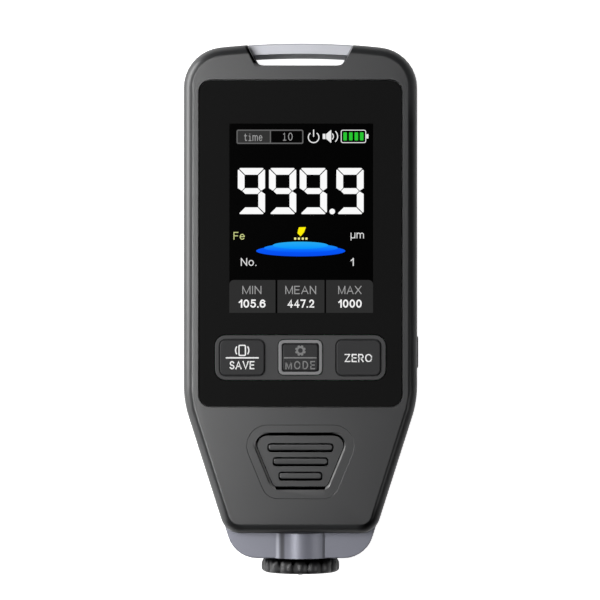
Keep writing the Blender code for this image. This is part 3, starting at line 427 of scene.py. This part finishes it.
def smoked_window():
    """Smoked front window: satin black, deeper black where the screen lies behind it."""
    black, deep = (0.0072, 0.0072, 0.0072), (0.0001, 0.0001, 0.0001)
    left, right, foot, top = SCREEN
    roughness = 0.38
    paint = Paint("smoked_window", black, roughness, specular=0.008)
    across = (paint.axis("X") - (left + right) / 2 * MM).size().below((right - left) / 2 * MM)
    along = (paint.axis("Y") - (foot + top) / 2 * MM).size().below((top - foot) / 2 * MM)
    haze = paint.noise(120.0)
    paint.set("Base Color", paint.mix(across * along, black, deep))
    paint.set("Roughness", roughness - 0.02 + haze * 0.05)
    return paint.material


def turned_metal(name, colour, roughness=0.28, grain=3000.0):
    """Machined or drawn metal with faint tool marks."""
    paint = Paint(name, colour, roughness, metallic=1.0)
    tool_marks = paint.noise(grain)
    darker = tuple(c * 0.9 for c in colour)
    paint.set("Base Color", paint.mix(paint.noise(300.0), darker, colour))
    paint.set("Roughness", roughness - 0.05 + tool_marks * 0.1)
    paint.bump(tool_marks, 0.15, 0.000003)
    return paint.material


def wound_copper():
    """Enamelled wire seen as a winding: fine hoops round the probe's own axis."""
    paint = Paint("wound_copper", (0.62, 0.26, 0.12), 0.32, metallic=0.9, coat=0.4)
    hoops = paint.node("ShaderNodeTexWave", {"bands_direction": "Y"}, {
        "Vector": paint.place(), "Scale": 900.0, "Distortion": 0.3})
    paint.set("Base Color", paint.mix(hoops, (0.30, 0.10, 0.04), (0.70, 0.32, 0.15)))
    paint.bump(hoops, 0.4, 0.00002)
    return paint.material


def circuit_board():
    """Green solder mask over faint copper tracks."""
    paint = Paint("circuit_board", (0.01, 0.10, 0.04), 0.35, coat=0.3)
    tracks = paint.node("ShaderNodeTexBrick", {"offset": 0.3}, {
        "Vector": paint.place(), "Scale": 260.0, "Mortar Size": 0.03,
        "Color1": (0.010, 0.10, 0.040, 1.0), "Color2": (0.012, 0.12, 0.046, 1.0),
        "Mortar": (0.022, 0.17, 0.070, 1.0)}, "Color")
    paint.set("Base Color", tracks)
    paint.bump(paint.noise(2500.0), 0.1, 0.000003)
    return paint.material


def screen_light(name, colour):
    """A lit mark on the screen: its own faintly uneven light, over a black that hardly reflects."""
    paint = Paint(name, (0.0, 0.0, 0.0), 0.35, specular=0.01)
    dimmer = tuple(c * 0.97 for c in colour)
    paint.set("Emission Color", paint.mix(paint.noise(900.0, 1.0), dimmer, colour))
    paint.set("Emission Strength", 1.0)
    return paint.material


def graded_light(name, foot, top, stops):
    """Light that changes colour from foot to top, along Y."""
    paint = Paint(name, (0.0, 0.0, 0.0), 0.35, specular=0.01)
    rise = (paint.axis("Y") - foot * MM) * (1 / ((top - foot) * MM))
    paint.set("Emission Color", paint.node("ShaderNodeValToRGB", {"stops": stops}, {"Fac": rise}))
    paint.set("Emission Strength", 1.0)
    return paint.material


def legend_ink(name, colour):
    """Legend ink on a key: matt, with a little unevenness."""
    return moulded(name, colour, 0.6, grain=5000.0, depth=0.000002, spread=0.03, specular=0.2)


# Surfaces

def seat_piece(name, mesh, material, body):
    """A finished piece with its place in its mesh, riding on a body."""
    piece = bpy.data.objects.new(name, mesh)
    bpy.context.scene.collection.objects.link(piece)
    mesh.materials.clear()
    mesh.materials.append(material)
    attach(piece, body)
    return piece


def ring_faces(rings, count, closed=False):
    """Quads between neighbouring rings of the same point count, as one index array."""
    last = rings if closed else rings - 1
    ring, spoke = np.meshgrid(np.arange(last), np.arange(count), indexing="ij")
    here, following, beside = ring * count, (ring + 1) % rings * count, (spoke + 1) % count
    corners = (here + spoke, here + beside, following + beside, following + spoke)
    return np.stack(corners, axis=-1).reshape(-1, 4)


def raised(rings, heights):
    """Rings of flat points, each at its own height, as one list of points."""
    rings = np.asarray(rings, float)
    heights = np.broadcast_to(np.asarray(heights, float)[:, None, None], (*rings.shape[:2], 1))
    return np.concatenate([rings, heights], axis=2).reshape(-1, 3)


def tablet(outline, low, high):
    """A flat tablet: point(u, v) = middle + share(v) * (outline(u) - middle), with share 0 at the middle of
    the foot, 1 up the wall and 0 at the middle of the top. The outline is seen whole from its middle."""
    outline = np.asarray(outline, float)
    middle = outline.mean(axis=0)
    shares = np.array([0.0, 1.0, 1.0, 0.0])[:, None, None]
    return raised(middle + shares * (outline - middle), (low, low, high, high)), ring_faces(4, len(outline))


def hoop(outer, inner, low, high):
    """A flat hoop between two outlines of the same point count: its four rings run round the section."""
    points = raised([outer, outer, inner, inner], (low, high, high, low))
    return points, ring_faces(4, len(outer), closed=True)


def stroke(path, width, low, high):
    """A flat bar carried along an open path, from low to high. Its sides stand off by n * width / 2, where n
    is the sum of the two neighbouring normals over 1 + their dot product, so that a run keeps its width round
    a corner. n is cut short at MITRE."""
    path = np.asarray(path, float)
    along = np.diff(path, axis=0)
    along /= np.linalg.norm(along, axis=1)[:, None]
    normal = np.stack([-along[:, 1], along[:, 0]], axis=1)
    before, after = np.vstack([normal[:1], normal]), np.vstack([normal, normal[-1:]])
    side = (before + after) / np.maximum(1 + (before * after).sum(axis=1), 0.01)[:, None]
    side *= np.minimum(1, MITRE / np.linalg.norm(side, axis=1))[:, None] * width / 2
    corners = ((1, low), (1, high), (-1, high), (-1, low))
    rows = [np.column_stack([path + sign * side, np.full(len(path), z)]) for sign, z in corners]
    points = np.stack(rows, axis=1).reshape(-1, 3)
    end = len(points) - 4
    caps = [[3, 2, 1, 0], [end, end + 1, end + 2, end + 3]]
    return points, ring_faces(len(path), 4).tolist() + caps


def marks(name, shapes, material, body=HOUSING):
    """Several flat shapes as one piece, its doubled points joined and its faces turned outwards."""
    points, faces, start = [], [], 0
    for shape_points, shape_faces in shapes:
        points.append(shape_points)
        faces += [[int(corner) + start for corner in face] for face in shape_faces]
        start += len(shape_points)
    mesh = bpy.data.meshes.new(name)
    mesh.from_pydata((np.concatenate(points) * MM).tolist(), [], faces)
    cage = bmesh.new()
    cage.from_mesh(mesh)
    bmesh.ops.remove_doubles(cage, verts=cage.verts, dist=1e-7)
    bmesh.ops.recalc_face_normals(cage, faces=cage.faces)
    cage.to_mesh(mesh)
    cage.free()
    return seat_piece(name, mesh, material, body)


def round_box(left, right, foot, top, corners, steps=4):
    """Outline of a rectangle with quarter-circle corners, counter-clockwise from the top right.
    corners is one radius, or four: top right, top left, foot left, foot right."""
    radii = corners if isinstance(corners, tuple) else (corners,) * 4
    quarter = np.linspace(0, math.pi / 2, steps + 1)
    sides = ((right, top, -1, -1), (left, top, 1, -1), (left, foot, 1, 1), (right, foot, -1, 1))
    turns = []
    for turn, (radius, (x, y, inward_x, inward_y)) in enumerate(zip(radii, sides)):
        angle = quarter + turn * math.pi / 2
        turns.append(np.column_stack([x + inward_x * radius + radius * np.cos(angle),
                                      y + inward_y * radius + radius * np.sin(angle)]))
    return np.concatenate(turns)


def oval(x, y, across, along, count=32):
    """Points round a whole ellipse of two half sizes."""
    angle = np.arange(count) * 2 * math.pi / count
    return np.column_stack([x + across * np.cos(angle), y + along * np.sin(angle)])


def arc(x, y, across, along, start, end, count=16):
    """Points on an ellipse between two angles in degrees, clockwise where end is the smaller."""
    angle = np.radians(np.linspace(start, end, count))
    return np.column_stack([x + across * np.cos(angle), y + along * np.sin(angle)])


# Letters: each has its width as a share of its height, and the middle lines of its strokes in a unit box

def letter_shapes():
    """Plain upright letters and figures of straight runs and parts of ellipses."""
    up, across = [(0, 0), (0, 1)], [(0, 0), (1, 0)]
    return {
        "A": (0.90, [[(0, 0), (0.5, 1), (1, 0)], [(0.17, 0.33), (0.83, 0.33)]]),
        "D": (0.80, [[(0, 0), (0, 1), (0.35, 1), *arc(0.4, 0.5, 0.6, 0.5, 90, -90), (0, 0)]]),
        "E": (0.68, [[(1, 1), (0, 1), (0, 0), (1, 0)], [(0, 0.52), (0.9, 0.52)]]),
        "F": (0.64, [[(1, 1), (0, 1), (0, 0)], [(0, 0.5), (0.88, 0.5)]]),
        "I": (0.14, [[(0.5, 0), (0.5, 1)]]),
        "M": (0.94, [up, [(0, 1), (0.5, 0), (1, 1)], [(1, 1), (1, 0)]]),
        "N": (0.78, [up, [(0, 1), (1, 0)], [(1, 0), (1, 1)]]),
        "O": (0.92, [arc(0.5, 0.5, 0.5, 0.5, 0, 360, 33)]),
        "R": (0.74, [[(0, 0), (0, 1), (0.5, 1), *arc(0.55, 0.74, 0.42, 0.26, 90, -90), (0, 0.48)],
                     [(0.45, 0.48), (0.98, 0)]]),
        "S": (0.70, [[*arc(0.5, 0.74, 0.45, 0.26, 22, 270), *arc(0.5, 0.24, 0.5, 0.24, 90, -160)[1:]]]),
        "V": (0.88, [[(0, 1), (0.5, 0), (1, 1)]]),
        "X": (0.88, [[(0, 0), (1, 1)], [(0, 1), (1, 0)]]),
        "Z": (0.74, [[(0, 1), (1, 1), (0, 0), (1, 0)]]),
        "e": (0.66, [[(0.02, 0.38), (1, 0.38), *arc(0.5, 0.36, 0.5, 0.36, 8, 320)]]),
        "m": (1.00, [[(0, 0), (0, 0.72)], [*arc(0.25, 0.47, 0.25, 0.25, 180, 0), (0.5, 0)],
                     [*arc(0.75, 0.47, 0.25, 0.25, 180, 0), (1, 0)]]),
        "o": (0.66, [arc(0.5, 0.36, 0.5, 0.36, 0, 360, 25)]),
        "\u00b5": (0.64, [[(0, -0.3), (0, 0.72)], [*arc(0.5, 0.25, 0.5, 0.25, 180, 360), (1, 0.72)],
                         [(1, 0), (1, 0.3)]]),
        ".": (0.17, [[(0.5, 0), (0.5, 0.001)]]),
        "0": (0.66, [arc(0.5, 0.5, 0.5, 0.5, 0, 360, 33)]),
        "1": (0.42, [[(0.05, 0.70), (1, 0.97)], [(1, 1), (1, 0)]]),
        "2": (0.66, [[*arc(0.5, 0.70, 0.46, 0.30, 165, -35), (0.05, 0), (1, 0)]]),
        "4": (0.70, [[(0.74, 0), (0.74, 1), (0, 0.28), (1, 0.28)]]),
        "5": (0.66, [[(0.92, 1), (0.2, 1), *arc(0.48, 0.33, 0.50, 0.33, 135, -155)]]),
        "6": (0.66, [arc(0.5, 0.32, 0.5, 0.32, 0, 360, 25), arc(0.52, 0.5, 0.52, 0.5, 40, 200)]),
        "7": (0.66, [[(0, 1), (1, 1), (0.35, 0)]]),
        "typed t": (0.62, [[(0.3, 0.92), *arc(0.58, 0.15, 0.28, 0.15, 180, 330)], [(0, 0.68), (0.85, 0.68)]]),
        "typed i": (0.56, [[(0.1, 0.66), (0.5, 0.66), (0.5, 0)], across, [(0.45, 0.93), (0.45, 0.94)]]),
        "typed 1": (0.48, [[(0.1, 0.82), (0.5, 1), (0.5, 0)], across]),
    }


LETTERS = letter_shapes()


def word(letters, left, right, foot, top, weight, low, high, gap):
    """A word as flat strokes: each letter gets its share of the width and is drawn half a weight inside its
    box, with the ends of its strokes carried on by half a weight."""
    widths = [LETTERS[letter][0] for letter in letters]
    unit = (right - left) / (sum(widths) + gap * (len(letters) - 1))
    shapes, x = [], left
    for letter, wide in zip(letters, widths):
        for path in LETTERS[letter][1]:
            path = np.array(path, float) * (wide * unit - weight, top - foot - weight)
            path += (x + weight / 2, foot + weight / 2)
            for end, beside in ((0, 1), (-1, -2)):
                out = path[end] - path[beside]
                path[end] += out / np.linalg.norm(out) * weight / 2
            shapes.append(stroke(path, weight, low, high))
        x += (wide + gap) * unit
    return shapes


# Screen

def digit_nine(left):
    """The lit bars of a nine, all but the lower left one, cut at 45 degrees where they meet."""
    wide, tall, thick = DIGIT_WIDTH, DIGIT_TOP - DIGIT_FOOT, DIGIT_STROKE
    cut, gap, tip, middle = DIGIT_CORNER, DIGIT_GAP, DIGIT_TIP, tall / 2
    end = [(cut, tall), ((cut + gap) / 2, tall - (cut - gap) / 2), (thick + gap, tall - thick)]
    top = np.array(end + [(wide - x, y) for x, y in reversed(end)])
    foot = top * (1, -1) + (0, tall)
    upper_left = np.array([
        (0, tall - cut), ((cut - gap) / 2, tall - (cut + gap) / 2), (thick, tall - thick - gap),
        (thick, middle + thick - tip + gap / 2), (tip, middle + gap / 2), (0, middle + tip * 0.75)])
    upper_right = upper_left * (-1, 1) + (wide, 0)
    lower_right = upper_right * (1, -1) + (0, tall)
    rise = DIGIT_CROSSBAR / 2
    near, far = tip + gap, wide - tip - gap
    across = np.array([(near, middle), (near + rise, middle + rise), (far - rise, middle + rise),
                       (far, middle), (far - rise, middle - rise), (near + rise, middle - rise)])
    return [bar + (left, DIGIT_FOOT) for bar in (top, foot, upper_left, upper_right, lower_right, across)]


def build_readout(low, high):
    digits = [tablet(bar, low, high) for left in DIGIT_LEFTS for bar in digit_nine(left)]
    x, y, radius = POINT
    digits.append(tablet(oval(x, y, radius, radius), low, high))
    marks("readout_digits", digits, screen_light("readout_white", tone(252, 252, 252)))


def build_status_row(low, high):
    """Along the top: the time box, the power sign, the speaker and the battery."""
    left, right, foot, top = STATUS_BOX
    line, pen = STATUS_LINE, SIGN_PEN
    rim = hoop(round_box(left, right, foot, top, 0.4), round_box(
        left + line, right - line, foot + line, top - line, 0.2), low, high)
    split = stroke([(STATUS_SPLIT, foot + line), (STATUS_SPLIT, top - line)], line, low, high)
    marks("status_rim", [rim, split], screen_light("status_grey", tone(98, 98, 98)))
    cell = tablet(round_box(left + line, STATUS_SPLIT - line / 2, foot + line, top - line, 0.1), low, high)
    marks("status_cell", [cell], screen_light("status_cell_grey", tone(50, 50, 50)))

    x, y = POWER_SIGN
    signs = [stroke(arc(x, y, POWER_RADIUS, POWER_RADIUS, 127, 413, 28), pen, low, high),
             stroke([(x, y + end) for end in POWER_BAR], pen, low, high),
             tablet(round_box(*SPEAKER_BLOCK, 0.08), low, high), tablet(SPEAKER_HORN, low, high)]
    for across, along, turn in SPEAKER_WAVES:
        signs.append(stroke(arc(*SPEAKER_MIDDLE, across, along, -turn, turn), pen, low, high))
    left, right, foot, top = BATTERY
    wall = BATTERY_WALL
    signs.append(hoop(round_box(left, right, foot, top, 0.42), round_box(
        left + wall, right - wall, foot + wall, top - wall, 0.3), low, high))
    near, far, foot, top = BATTERY_CAP
    signs.append(tablet(round_box(right + near, right + far, foot, top, 0.1), low, high))
    marks("status_signs", signs, screen_light("status_white", tone(235, 235, 235)))
    near, far, foot, top = BATTERY_BAR
    bars = [tablet(round_box(x + near, x + far, foot, top, 0.14), low, high) for x in BATTERY_BARS]
    marks("battery_bars", bars, screen_light("battery_green", tone(40, 200, 50)))


def build_coating_sign(low, high):
    """The middle of the screen: a stack of three blue films, and the yellow marker that points at it."""
    for layer, ((x, y, half, rise), (dark, light)) in enumerate(zip(FILMS, FILM_TONES)):
        stops = ((0.1, tone(*dark)), (0.9, tone(*light)))
        blue = graded_light(f"film_blue_{layer + 1}", y - rise, y + rise, stops)
        film = tablet(oval(x, y, half, rise, 64), low + layer * PRINT, high + layer * PRINT)
        marks(f"coating_film_{layer + 1}", [film], blue)
    marks("coating_marker", [tablet(MARKER, low, high)], screen_light("marker_yellow", tone(255, 240, 0)))
    size, y = MARKER_DOT, MARKER_DOTS_Y
    dots = [tablet(round_box(x - size, x + size, y - size, y + size, 0.1), low, high) for x in MARKER_DOTS]
    marks("marker_dots", dots, screen_light("marker_pale", tone(250, 245, 150)))


def build_tiles(low, high):
    """Three grey tiles along the foot of the screen, the outer two with a rounded upper corner."""
    edge = TILE_EDGE
    corners = ((edge, TILE_CORNER, edge, edge), edge, (TILE_CORNER, edge, edge, edge))
    tiles = [tablet(round_box(left, right, TILE_FOOT, TILE_TOP, radii), low, high)
             for (left, right), radii in zip(TILE_SIDES, corners)]
    marks("value_tiles", tiles, screen_light("tile_grey", tone(46, 46, 46)))


def build_words(low):
    """Generic legends and numbers: units, smallest, mean and largest value, time and counters."""
    for name, light, colour, prints, words in SCREEN_WORDS:
        high = low + prints * PRINT
        strokes = [word(letters, *box, weight, low, high, gap) for letters, *box, weight, gap in words]
        marks(name, sum(strokes, []), screen_light(light, tone(*colour)))


# Key mat and legends

def gear(x, y, radius, teeth=8, depth=0.22):
    """Outline of a gear: radius * (1 - depth * (1 + tanh(3 cos(teeth u) - 1)) / 2), with blunt teeth that are
    wider than the gaps between them."""
    angle = np.arange(GEAR_POINTS) * 2 * math.pi / GEAR_POINTS
    reach = radius * (1 - depth * (1 + np.tanh(3 * np.cos(teeth * angle) - 1)) / 2)
    return np.column_stack([x + reach * np.cos(angle), y + reach * np.sin(angle)])


def build_key_mat():
    """The rubber mat that shows in the gap round each key."""
    near, far, low, high = KEY_MAT
    rims = []
    for left, right, foot, top, corner in KEY_BOXES:
        outer, inner = (round_box(left - grow, right + grow, foot - grow, top + grow, corner + grow)
                        for grow in (far, near))
        rims.append(hoop(outer, inner, low, high))
    mat = moulded("mat_rubber", (0.028, 0.028, 0.029), 0.7, specular=0.1)
    marks("key_mat", rims, mat, HOUSING)


def build_key_legends():
    """SAVE under a vibration sign, MODE under a gear, each with a rule between them, and ZERO."""
    low, high = KEY_TOP, KEY_TOP + PRINT
    white, grey = legend_ink("ink_white", (0.74, 0.74, 0.74)), legend_ink("ink_grey", (0.17, 0.17, 0.17))
    x, y = SIGN_MIDDLE
    (wide, tall), wall = SIGN_HALF, SIGN_WALL
    radius, turn = SIGN_WAVE
    phone = hoop(round_box(x - wide, x + wide, y - tall, y + tall, 0.35), round_box(
        x - wide + wall, x + wide - wall, y - tall + wall, y + tall - wall, 0.15), low, high)
    waves = [stroke(arc(x, y, radius, radius, middle - turn, middle + turn), wall, low, high)
             for middle in (0, 180)]
    left, right, width = SAVE_RULE
    rule = stroke([(left, RULE_Y), (right, RULE_Y)], width, low, high)
    save = word(*SAVE_WORD, low, high, 0.12)
    marks("save_legend", [phone, *waves, rule, *save], white, "save_key")
    bore = oval(*GEAR_MIDDLE, GEAR_BORE, GEAR_BORE, GEAR_POINTS)
    wheel = hoop(gear(*GEAR_MIDDLE, GEAR_RADIUS), bore, low, high)
    left, right, width = MODE_RULE
    rule = stroke([(left, RULE_Y), (right, RULE_Y)], width, low, high)
    mode = word(*MODE_WORD, low, high, 0.3)
    marks("mode_legend", [wheel, rule, *mode], grey, "mode_key")
    marks("zero_legend", word(*ZERO_WORD, low, high, 0.16), white, "zero_key")


# Dressing the solids

SAME_POINT, WELD_WITHIN = 2e-6, 1e-6  # metres
FLAT_WITHIN, ROUND_FROM, SPLIT_FROM, RING_SPLIT_FROM = 0.6, 38, 35, 40  # degrees


def dressed(node, material, edge=0.1):
    """A finished copy of a rigid node: joined, its flat faces merged, its edges broken by a fine round."""
    source = frame["nodes"][node]
    cage = bmesh.new()
    cage.from_mesh(source.data)
    bmesh.ops.remove_doubles(cage, verts=cage.verts, dist=SAME_POINT)
    bmesh.ops.dissolve_limit(cage, angle_limit=math.radians(FLAT_WITHIN), verts=cage.verts, edges=cage.edges)
    mesh = bpy.data.meshes.new(node + "_finish")
    cage.to_mesh(mesh)
    cage.free()
    mesh.shade_smooth()
    piece = seat_piece(node + "_finish", mesh, material, source["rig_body"])
    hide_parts(node)
    rounding = piece.modifiers.new("broken_edge", "BEVEL")
    rounding.width = edge * MM
    rounding.segments = 2
    rounding.limit_method = "ANGLE"
    rounding.angle_limit = math.radians(ROUND_FROM)
    flat = piece.modifiers.new("flat_faces", "WEIGHTED_NORMAL")
    flat.keep_sharp = True
    flat.weight = 80


def smoothed(node, material):
    """A solid left as it is, with its finish and smooth shading up to its real edges."""
    piece = frame["nodes"][node]
    piece.data.materials.clear()
    piece.data.materials.append(material)
    piece.data.shade_smooth()
    joined = piece.modifiers.new("joined", "WELD")
    joined.merge_threshold = WELD_WITHIN
    split = piece.modifiers.new("real_edges", "EDGE_SPLIT")
    split.split_angle = math.radians(SPLIT_FROM)
    piece.modifiers.new("flat_faces", "WEIGHTED_NORMAL")


def dress_outside():
    """The pieces that are seen when the gauge is closed."""
    # The shell plastic carries painted shade and, in the grip pad, a painted highlight.
    shell = moulded("shell_plastic", (0.0165, 0.0168, 0.0178), 0.335, shade=shell_painted_shade, glint=grip_pad_painted_highlight)
    window = smoked_window()
    key = moulded("key_plastic", (0.029, 0.029, 0.030), 0.6, grain=6500.0, depth=0.000004, specular=0.1)
    panel = moulded("panel_plastic", (0.053, 0.053, 0.054), 0.6, grain=6500.0, depth=0.000004, specular=0.1)
    ring = moulded("ring_plastic", (0.185, 0.185, 0.188), 0.55, specular=0.15)
    # The sleeve carries a painted shadow under the nose and painted shade between its lobes.
    sleeve = moulded("sleeve_rubber", (0.018, 0.018, 0.019), 0.36, specular=0.5, shade=ring_painted_shade)
    for node in ("front_shell", "rear_shell", "battery_door"):
        dressed(node, shell)
    dressed("mid_frame", frame_lacquer())
    dressed("display_window", window, 0.05)
    dressed("key_panel", panel)
    dressed("mode_ring", ring, 0.05)
    for node in ("save_button", "mode_button", "zero_button", "power_button"):
        dressed(node, key)
    build_probe_ring(sleeve)


def dress_inside():
    """The pieces under the housing, with the screws and the probe tip."""
    steel = turned_metal("tip_steel", (0.55, 0.55, 0.56))
    dressed("probe_tip", steel, 0.05)
    spring = turned_metal("spring_steel", (0.62, 0.62, 0.60), 0.22)
    nickel = turned_metal("contact_nickel", (0.66, 0.64, 0.58), 0.3)
    copper = wound_copper()
    board = circuit_board()
    holder = moulded("holder_plastic", (0.70, 0.70, 0.68), 0.5)
    display = moulded("display_bezel", (0.03, 0.03, 0.032), 0.4)
    switch = moulded("switch_plastic", (0.05, 0.05, 0.05), 0.45)
    jacket = moulded("cell_jacket", (0.07, 0.16, 0.09), 0.3, grain=900.0, coat=0.5)
    inner = {
        "display_module": display, "display_holder": holder, "main_board": board, "buzzer": switch,
        "vibration_motor": steel, "probe_core": steel, "probe_bobbin": holder, "probe_coil": copper,
        "probe_spring": spring, "probe_end_cap": switch,
    }
    inner |= {f"{key}_switch": switch for key in ("save", "mode", "zero", "power")}
    inner |= {f"housing_screw_{number}": steel for number in range(1, 5)}
    for side in ("left", "right"):
        inner |= {f"cell_{side}": jacket, f"cell_spring_{side}": spring, f"cell_tab_{side}": nickel}
    for node, material in inner.items():
        smoothed(node, material)


def build_probe_ring(material):
    """The scalloped ring under the nose with its spigot, bore and tip hole, turned about the probe's axis:
    point(u, v) = axis + reach * (sin u, cos u), where
    reach = radius - inset(v) - depth(v) * (1 - |cos(lobes * u / 2)|)."""
    turn = np.arange(RING_SPOKES) * 2 * math.pi / RING_SPOKES
    scallop = 1 - np.abs(np.cos(RING_LOBES * turn / 2))
    stations = [(rise, RING_RADIUS - inset, depth) for rise, inset, depth in RING_STATIONS]
    stations += [(rise, radius, 0.0) for rise, radius in RING_INSIDE]
    rings = []
    for rise, radius, depth in stations:
        reach = radius - depth * scallop
        height = np.full(len(turn), RING_END_Y + rise)
        rings.append(np.column_stack([reach * np.sin(turn), height, RING_AXIS_Z + reach * np.cos(turn)]))
    faces = ring_faces(len(rings), RING_SPOKES, closed=True)
    ring = marks("probe_ring", [(np.concatenate(rings), faces)], material, HOUSING)
    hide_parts("probe_sleeve")
    ring.data.shade_smooth()
    ring.modifiers.new("real_edges", "EDGE_SPLIT").split_angle = math.radians(RING_SPLIT_FROM)


# Camera, light and floor

OPTICAL_AXIS = (-0.09, 2.27)
CAMERA_RISE = 640.0
VIEW_WIDTH = 128.7
SENSOR = 36.0
ROOM_LIGHT = 0.06
FLOOR_HALF, FLOOR_Z = 1500.0, -0.05
FLOOR_SEEN, FLOOR_MIRRORED, FLOOR_MIRRORED_LEFT, FLOOR_LEFT_X = 0.9, 0.12, 0.6, (-24.0, -34.0)


def build_camera():
    """Straight down over the display: the view is VIEW_WIDTH across at the front face."""
    data = bpy.data.cameras.new("camera")
    data.sensor_width = SENSOR
    data.lens = SENSOR * CAMERA_RISE / VIEW_WIDTH
    data.clip_end = 10.0
    eye = bpy.data.objects.new("camera", data)
    eye.location = Vector((*OPTICAL_AXIS, FRONT_TOP + CAMERA_RISE)) * MM
    bpy.context.scene.collection.objects.link(eye)
    bpy.context.scene.camera = eye


def lamp(name, place, aim, size, radiance):
    """A rectangular soft light at a place, turned towards a point, of a given surface brightness."""
    data = bpy.data.lights.new(name, "AREA")
    data.shape = "RECTANGLE"
    data.size, data.size_y = size[0] * MM, size[1] * MM
    data.energy = radiance * math.pi * data.size * data.size_y
    made = bpy.data.objects.new(name, data)
    made.location = Vector(place) * MM
    made.rotation_euler = (Vector(aim) - Vector(place)).to_track_quat("-Z", "Y").to_euler()
    bpy.context.scene.collection.objects.link(made)


def build_lights():
    """Soft lamps, and a room that is white to the camera and dim to the gauge."""
    lamp("overhead", (-120, 10, 450), (0, 0, 25), (230, 60), 31.0)
    lamp("bar_light", (0, 145, 900), (0, 55, 25), (150, 40), 8.0)
    lamp("left_side", (-420, 180, 95), (0, 60, 20), (440, 190), 11.0)
    lamp("left_high", (-350, 140, 330), (0, 30, 25), (440, 200), 1.8)
    lamp("left_foot", (-420, -150, 95), (0, -40, 20), (220, 190), 2.6)
    lamp("nose_right", (230, -85, 220), (0, -50, 20), (130, 130), 2.6)
    lamp("right_side", (420, 0, 60), (0, 0, 20), (700, 100), 0.3)
    world = bpy.data.worlds.new("room")
    bpy.context.scene.world = world
    world.use_nodes = True
    nodes, links = world.node_tree.nodes, world.node_tree.links
    background = nodes["Background"]
    background.inputs["Color"].default_value = (1.0, 1.0, 1.0, 1.0)
    strength = nodes.new("ShaderNodeMapRange")
    strength.inputs["To Min"].default_value = ROOM_LIGHT
    links.new(nodes.new("ShaderNodeLightPath").outputs["Is Camera Ray"], strength.inputs["Value"])
    links.new(strength.outputs["Result"], background.inputs["Strength"])


def build_floor():
    """A pale floor: near white to the camera and in reflections, and it keeps the gauge's soft shadow."""
    half, z = FLOOR_HALF * MM, FLOOR_Z * MM
    corners = [(-half, -half, z), (half, -half, z), (half, half, z), (-half, half, z)]
    mesh = bpy.data.meshes.new("floor")
    mesh.from_pydata(corners, [], [(0, 1, 2, 3)])
    ground = bpy.data.objects.new("floor", mesh)
    bpy.context.scene.collection.objects.link(ground)
    paint = Paint("floor_white", (0.8, 0.8, 0.8), 0.9, specular=0.0)
    camera_ray = paint.node("ShaderNodeLightPath", output="Is Camera Ray")
    mirror_ray = paint.node("ShaderNodeLightPath", output="Is Glossy Ray")
    mirrored = paint.axis("X").fade(*FLOOR_LEFT_X) * FLOOR_MIRRORED_LEFT + FLOOR_MIRRORED
    paint.set("Emission Color", (1.0, 1.0, 1.0, 1.0))
    paint.set("Emission Strength", camera_ray * FLOOR_SEEN + mirror_ray * mirrored)
    mesh.materials.append(paint.material)


def main():
    bpy.context.scene.view_settings.view_transform = "Standard"
    build_camera()
    build_lights()
    build_floor()
    dress_outside()
    dress_inside()
    low, high = WINDOW_TOP, WINDOW_TOP + PRINT
    build_readout(low, high)
    build_status_row(low, high)
    build_coating_sign(low, high)
    build_tiles(low, high)
    build_words(low)
    build_key_mat()
    build_key_legends()


main()
